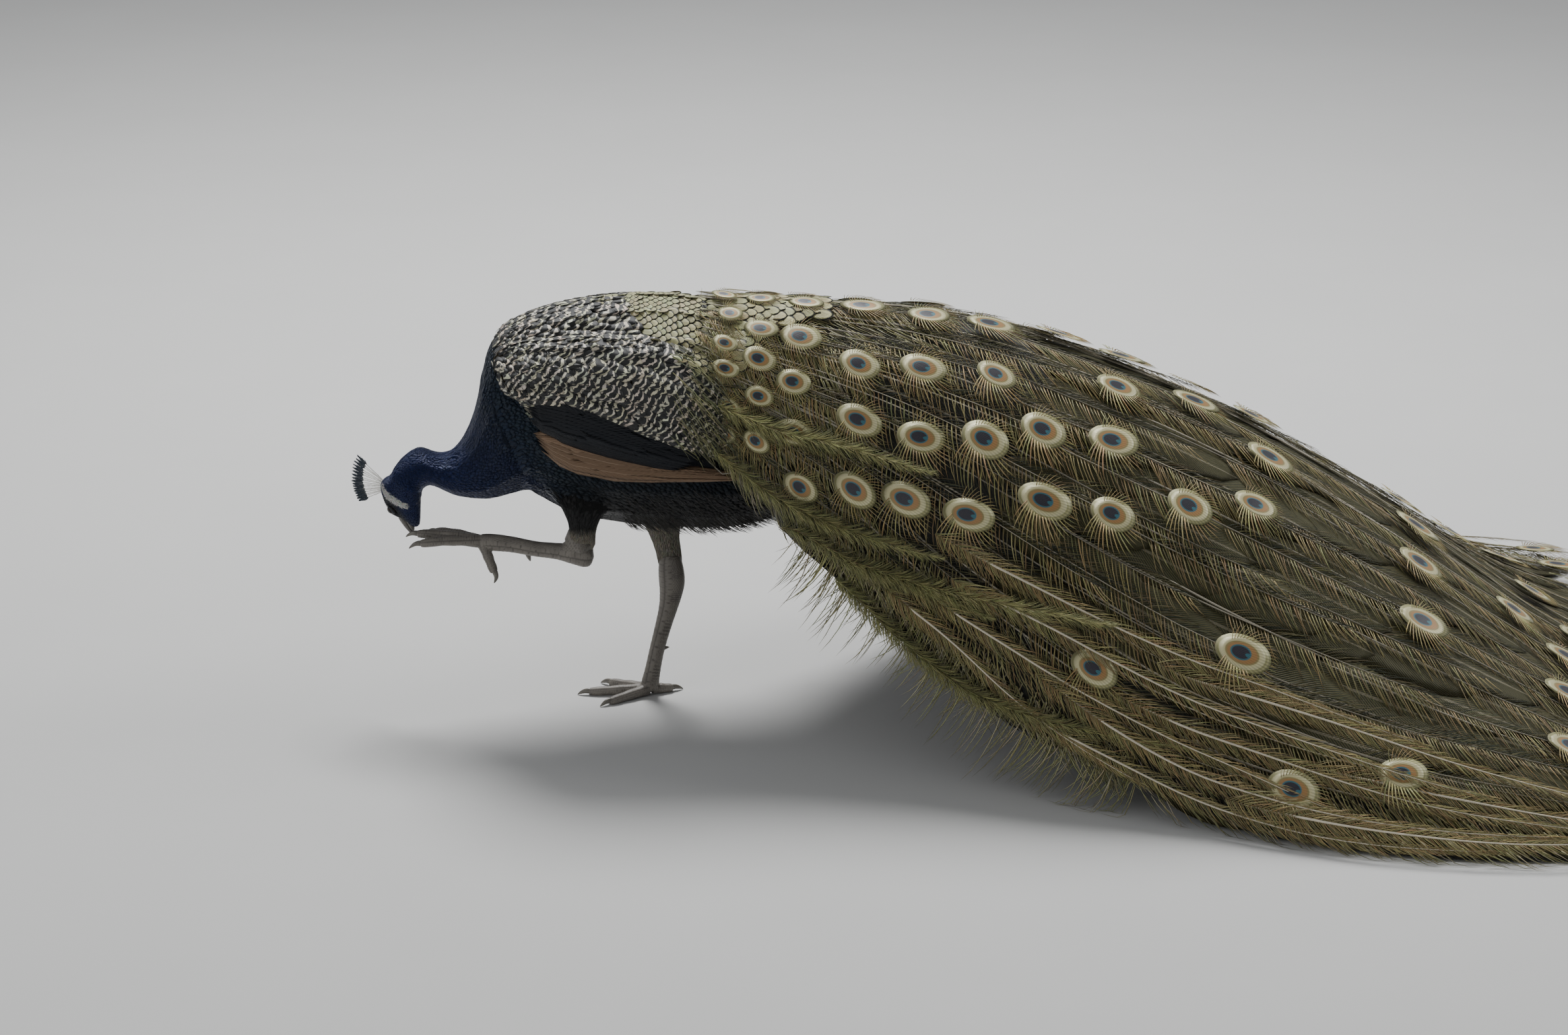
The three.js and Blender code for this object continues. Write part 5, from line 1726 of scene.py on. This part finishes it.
def open_feathers(barbs, shafts):
    """The train's own feathers, row by row; gives back the tips that end in an eye."""
    eyes = []
    for tip, v_tip, radius, row, eyed in tips():
        length = min(tip - TRAIN_START, 0.16 + 0.30 * soft_step(row, 0, 8) + 0.10 * dice.random())
        wander = 0.012 * dice.standard_normal()
        phase = dice.random() * math.tau

        def line(x):
            s = (tip - x) / max(length, 0.01)
            return v_tip + wander * np.sin(2.6 * s + phase) * s / (0.3 + x)

        # The shaft, from under the rows in front to the eye.
        x = np.linspace(tip - length, tip, SHAFT_SAMPLES)
        place = drape(x, line(x)) + drape_axes(x, line(x))[2] * (lift_over(x, tip) + 0.0006)[:, None]
        thick = (0.0006 + 0.0007 * soft_step(row, 1, 9)) * (1 - 0.72 * (x - x[0]) / length)
        cream = SHAFT_CREAM * (0.40 + 0.6 * dice.random() ** 2)
        if tip > SHOWS_SHAFT:
            shafts.append((place, thick, cream))
        if eyed:
            eyes.append((tip, v_tip, radius, row))
        if tip < SHOWS_SHAFT and abs(v_tip) < NEAR_RIDGE:
            continue
        # Barbs down both sides: long open ones that hang down the slope, and close ones above painted near-black as
        # shade; in the rear rows the hanging ones get more painted shade too.
        grown, late = float(soft_step(row, 0, 5)), float(soft_step(row, 5, 9))
        inner = min(length, 0.060 + 0.150 * float(soft_step(row, 0, 8)) + 0.030 * float(soft_step(row, 7, 9)))
        for side in (-1, 1):
            hang = side == (1 if v_tip > 0 else -1)
            step = (0.0032 + 0.0020 * grown - 0.0010 * late) if hang else (0.0032 + 0.0012 * grown)
            x = np.arange(tip - (radius * 0.2 if eyed else 0.0), tip - inner, -step)
            if len(x) < 3:
                continue
            away = tip - x
            near_tip = 0.60 + 0.40 * soft_step(away, 0.0, 0.04)
            reach = ((0.022 + 0.026 * grown) if hang else (0.018 + 0.020 * grown)) * near_tip
            if hang:
                angle = 34 + (34 - 12 * late) * soft_step(away, 0.0, 0.05)
            else:
                angle = 20 + 16 * soft_step(away, 0.0, 0.12)
            lift = lift_over(x, tip) * (0.8 + 0.25 * dice.random(len(x)))
            barb_rows(barbs, x, line(x), lift, reach, angle, side, droop=0.12 if hang else 0.0,
                      dark=0.05 + 0.25 * late if hang else 0.85, wide=1.0 if hang else 0.75)
    return eyes


FRINGE_SPOKES = 34


def feather_eyes(eyes, fringe):
    """Eyes, and the lashes of longer barbs that spring from behind each of them."""
    tip, v, radius, row = (np.array(column) for column in zip(*eyes))
    count = len(tip)
    along, across, out = drape_axes(tip, v)
    place = drape(tip, v) + out * (lift_over(tip, tip) + 0.0022)[:, None]
    tilt = np.radians(1 + 4 * dice.random(count))[:, None]
    aim = along * np.cos(tilt) + out * np.sin(tilt) + across * 0.16 * dice.standard_normal((count, 1))
    size = np.c_[radius * (0.90 + 0.12 * dice.random(count)), radius * (1.18 + 0.2 * dice.random(count)), radius * 0.45]
    cells = int(math.ceil(math.sqrt(count)))
    root = np.c_[(np.arange(count) % cells + 0.5) / cells, (np.arange(count) // cells + 0.5) / cells]
    made = scatter("train_eyes", eyespot(), eyespot_material(), place, aim, out, size,
                   np.ones((count, 4)), root, 0.9 / cells)
    above_floor(made.data)
    downhill = np.where(v > 0, 1.0, -1.0)[:, None]
    for k in range(FRINGE_SPOKES):
        turn = math.radians(-150 + 300 * (k + 0.5) / FRINGE_SPOKES)
        spoke = along * math.cos(turn) * 1.25 + across * math.sin(turn)
        start = place + spoke * (radius * 0.82)[:, None] + out * 0.0002
        below = np.clip(math.sin(turn) * downhill, 0, 1)
        ahead = unit(unit(spoke) * 0.8 + along * 0.55 + across * downhill * 0.35 * below + out * 0.05)
        long = radius * 0.50 + 0.008 + 0.022 * below[:, 0] * soft_step(row, 1, 5)
        long = long * (0.85 + 0.3 * dice.random(count))
        colour = BARB_GOLD + (BARB_BRONZE - BARB_GOLD) * dice.random((count, 1))
        fringe.add(turn, start, ahead, out, np.c_[long * 1.1, long, long], colour)


def flanks(barbs, wisps, shafts):
    """Along both flanks: dense feathers with thick short barbs all round, long bright shafts with
    open barbs, then loose barbs over the flanks and wisps that hang to the floor."""
    for side in (-1, 1):
        for k, stations in enumerate(FLANK_FEATHERS):
            shift = 0.02 * (dice.random() - 0.5) if side > 0 else 0.0
            x, v, t = flank_line(stations, side, DENSE_SAMPLES, shift)
            lift = 0.011 + 0.004 * (k % 2)
            shafts.append((drape(x, v) + drape_axes(x, v)[2] * lift, 0.0009 * (1 - 0.6 * t), BARB_BRONZE * 0.5))
            brush(barbs, stations, side, shift, lift)
        for k, stations in enumerate(FLANK_SHAFTS):
            shift = 0.03 * (dice.random() - 0.5) if side > 0 else 0.0
            x, v, t = flank_line(stations, side, OPEN_SAMPLES, shift)
            lift = 0.010 + 0.003 * (k % 3)
            bared = soft_step(t, 0.0, 0.16)
            place = drape(x, v) + drape_axes(x, v)[2] * (lift * bared - 0.003 * (1 - bared))[:, None]
            place[:, 2] = np.maximum(place[:, 2], FLOOR_LAYER)
            shafts.append((place, 0.0018 * (1 - 0.8 * t) * (0.3 + 0.7 * bared), SHAFT_CREAM * 1.15))
            for lean, step, reach, angle in ((side, 0.0024, 0.030, 42), (-side, 0.0042, 0.034, 34)):
                count = int(np.linalg.norm(np.diff(place, axis=0), axis=1).sum() / step)
                x, v, t = (values[::-1] for values in flank_line(stations, side, count, shift))
                # The dark share mixes these open barbs a little toward the near-black barb colour, a light painted
                # shade.
                barb_rows(barbs, x, v, np.full(count, lift), reach * (1 - 0.55 * t ** 3), angle * (1 - 0.4 * t), lean,
                          droop=0.28 if lean == side else 0.0, dark=0.15, wide=0.75)
        for group in LOOSE_BARBS:
            loose_barbs(barbs, side, *group)
        loose_barbs(wisps, side, *WISPS, thick=0.060)


def train():
    barbs, fringe, wisps, shafts = Barbs(), Barbs(), Barbs(), []
    feather_eyes(open_feathers(barbs, shafts), fringe)
    flanks(barbs, wisps, shafts)
    above_floor(many_tubes("train_shafts", shafts, fibre_material("train shafts", 0.36, 0.3)).data)
    strand = fibre_material("train barbs", 0.42, 0.30, metallic=0.15, sheen=0.05)
    barbs.pieces("train_barbs", mirrored("barb", 0.20, droop=0.16, wide=0.034, thick=0.010), strand)
    fringe.pieces("eye_fringe", mirrored("fringe", 0.16, droop=0.10, wide=0.045, thick=0.016), strand)
    wisps.pieces("train_wisps", mirrored("wisp", -0.45, droop=0.20, wide=0.020, thick=0.006, steps=5), strand)


BED_ROWS, BED_COLUMNS, BED_START = 110, 72, 0.072
# How far the bed's two faces lie under the train's surface, and their least heights on the floor.
BED_FACES = ((0.0045, 0.0035), (0.0095, 0.0012))


def bed_point(i, j, level, rest):
    """A point of the bed at a level under the train's surface, and no lower than the floor."""
    v = 2 * j / BED_COLUMNS - 1
    rag = 0.016 * abs(math.sin(j * 1.9)) + 0.012 * noise.noise((j * 0.7, 3.1, 0))
    end = reach_at(TRAIN_END - 0.03, v) - rag
    x = BED_START + (end - BED_START) * i / BED_ROWS
    v *= 0.985 + 0.045 * float(soft_step(x, 0.13, 0.20) * soft_step(-x, -0.56, -0.44))
    ripple = 0.0016 * math.sin(v * 60 + 5 * x) + 0.0012 * noise.noise((x * 14, v * 9, 0.5))
    place = drape(x, v) + drape_axes(x, v)[2] * (ripple - level)
    rim = max(float(soft_step(x - end, -0.11, -0.01)),
              float(soft_step(abs(v), 0.90, 0.98) * soft_step(x, 0.62, 0.76)))
    place[2] = max(place[2] * (1 - rim) + rest * rim, rest)
    return place


def web_shade_material():
    # Near-black with faint gold streaks along its barbs: painted shade under the open feathers.
    look = Finish("train under-web", 0.6, metallic=0.1, sheen=0.2)
    x, y = look.axes(look.place())
    wobble = look.grain(30, 3)
    comb = sine((x - maths("ABSOLUTE", y) * 0.9) * 1500.0 + wobble * 14.0)
    tone = blend(wobble, (0.005, 0.007, 0.003), (0.034, 0.032, 0.012))
    return look.painted(blend((comb + 1.0) * 0.5, tone, (0.002, 0.003, 0.002)), comb, 0.0008, 0.8)


def train_bed():
    """The web of barbs under the open feathers, near-black as painted shade: one thin sheet with a ragged rim."""
    across, down = range(BED_COLUMNS + 1), range(BED_ROWS + 1)
    points = [bed_point(i, j, *face) for face in BED_FACES for i in down for j in across]
    ring, half, faces = len(across), len(points) // 2, []
    for i in range(BED_ROWS):
        for a in range(i * ring, i * ring + BED_COLUMNS):
            faces.append((a, a + 1, a + ring + 1, a + ring))
            faces.append((half + a, half + a + ring, half + a + ring + 1, half + a + 1))
    for i in range(BED_ROWS):
        for a in (i * ring, i * ring + BED_COLUMNS):
            faces.append((a, a + ring, half + a + ring, half + a))
    for j in range(BED_COLUMNS):
        for a in (j, BED_ROWS * ring + j):
            faces.append((a, half + a, half + a + 1, a + 1))
    made = new_object("train_bed", closed("train_bed", points, faces, [(p[0] / 0.09, p[1] / 0.09) for p in points]))
    show(made, web_shade_material(), [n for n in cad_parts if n.startswith("train_")])


TILE_ROWS, TILES_ACROSS, TILE_SAMPLES = 9, 17, 12
TILES_FROM, TILE_PITCH, TILE_LENGTH = 0.66, 0.0925, 0.19


def under_feathers(material):
    """Looser feathers tinted near-black as painted shade, laid like tiles over the web, where the open ones are far
    apart.
    """
    vanes = Vanes(TILE_ROWS * TILES_ACROSS)
    s = np.linspace(0, 1, TILE_SAMPLES)
    for row in range(TILE_ROWS):
        for k in range(TILES_ACROSS):
            v = 0.955 * (2 * (k + 0.25 + 0.5 * (row % 2)) / TILES_ACROSS - 1) + 0.012 * dice.standard_normal()
            v = min(max(v, -0.96), 0.96)
            end = reach_at(TILES_FROM + TILE_PITCH * row, v) + 0.014 * dice.standard_normal()
            x = np.linspace(end - TILE_LENGTH, end, TILE_SAMPLES)
            out = drape_axes(x, v)[2]
            place = drape(x, v) + out * (0.0030 * s - 0.0040 + 0.0012 * (k % 2))[:, None]
            rim = float(soft_step(abs(v), 0.86, 0.98)) * s + (s ** 2 if row == TILE_ROWS - 1 else 0.0)
            place[:, 2] = np.maximum(place[:, 2] * (1 - np.clip(rim, 0, 1)), 0.0045)
            width = 1.9 * float(drape(end, 1.0)[1]) / TILES_ACROSS * 1.45
            widths = width * np.clip(np.sin(np.pi * np.clip(0.10 + 0.88 * s ** 1.15, 0, 1)), 0.03, 1) ** 0.65
            # Each one near-black, a painted shade, its tone varied at random.
            tone = 0.75 + 0.5 * dice.random()
            vanes.add(place, out, widths, VANE_THICK, BARB_SHADE * 0.9 * tone, cup=0.02)
    above_floor(vanes.piece("under_feathers", "train_plumage", material).data)


TAIL_VANES, TAIL_SAMPLES = 18, 14


def tail_feathers(material):
    """Stiff brown tail feathers fanned under the train."""
    low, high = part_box("tail")
    vanes = Vanes(TAIL_VANES)
    for k in range(TAIL_VANES):
        share = 2 * k / (TAIL_VANES - 1) - 1
        x = np.linspace(low.x + 0.006, high.x - 0.008 - 0.055 * share * share, TAIL_SAMPLES)
        s = (x - x[0]) / (x[-1] - x[0])
        v = 0.40 * share * (0.74 + 0.26 * s)
        out = drape_axes(x, v)[2]
        place = drape(x, v) - out * (0.0185 + 0.0012 * (k % 2) + 0.0010 * abs(share))
        widths = 0.034 * np.clip(np.sin(np.pi * np.clip(0.12 + 0.80 * s, 0, 1)), 0.05, 1) ** 0.45
        tone = 0.8 + 0.4 * dice.random()
        vanes.add(place, out, widths, 0.0008, TAIL_BROWN * tone, cup=0.03)
    vanes.piece("tail_feathers", "tail_plumage", material, ["tail"])


# ---------------------------------------------------------------- assembly
camera()
dress_body(make_skin())
dress_back()
eye_pieces()
bill()
crest()
legs()
bed_finish = skin_material()
rust_vane = vane_material("chestnut primaries", 0.6, 34.0, (0.30, 0.21, 0.14), (0.15, 0.090, 0.048))
dark_vane = vane_material("ink secondaries", 0.5, 34.0, (0.015, 0.015, 0.018), (0.008, 0.010, 0.016), 0.1)
brown_vane = vane_material("brown tail vanes", 0.6, 60.0, (0.25, 0.20, 0.14), (0.06, 0.045, 0.03))
for side in (-1, 1):
    dress_wing(side, bed_finish, dark_vane, rust_vane)
dress_shield()
train_bed()
under_feathers(vane_material("train under feathers", 0.55, 46.0, (0.20, 0.18, 0.12), (0.150, 0.125, 0.045), 0.1,
                             slope=0.26, comb_share=0.30))
tail_feathers(brown_vane)
train()

floor = new_object("floor", solid_mesh("floor", [(-8, -8, 0), (8, -8, 0), (8, 8, 0), (-8, 8, 0)], [(0, 1, 2, 3)],
                                       smooth=False))
paper = Finish("pale floor", 0.85, specular=0.2)
floor.data.materials.append(paper.painted(blend(paper.grain(3.0), (0.60, 0.60, 0.59), (0.64, 0.64, 0.63))))
lamp("key", (-0.2, 2.0, 3.6), (0.3, 0.0, 0.25), 1.6, 190)
lamp("fill", (-2.6, -2.8, 2.0), (0.1, 0.0, 0.2), 2.6, 24)
lamp("rear", (3.4, 0.6, 2.4), (0.6, 0.0, 0.2), 1.8, 46)
world = bpy.data.worlds.new("studio")
world.use_nodes = True
world.node_tree.nodes["Background"].inputs[0].default_value = (0.80, 0.82, 0.85, 1)
world.node_tree.nodes["Background"].inputs[1].default_value = 0.36
bpy.context.scene.world = world
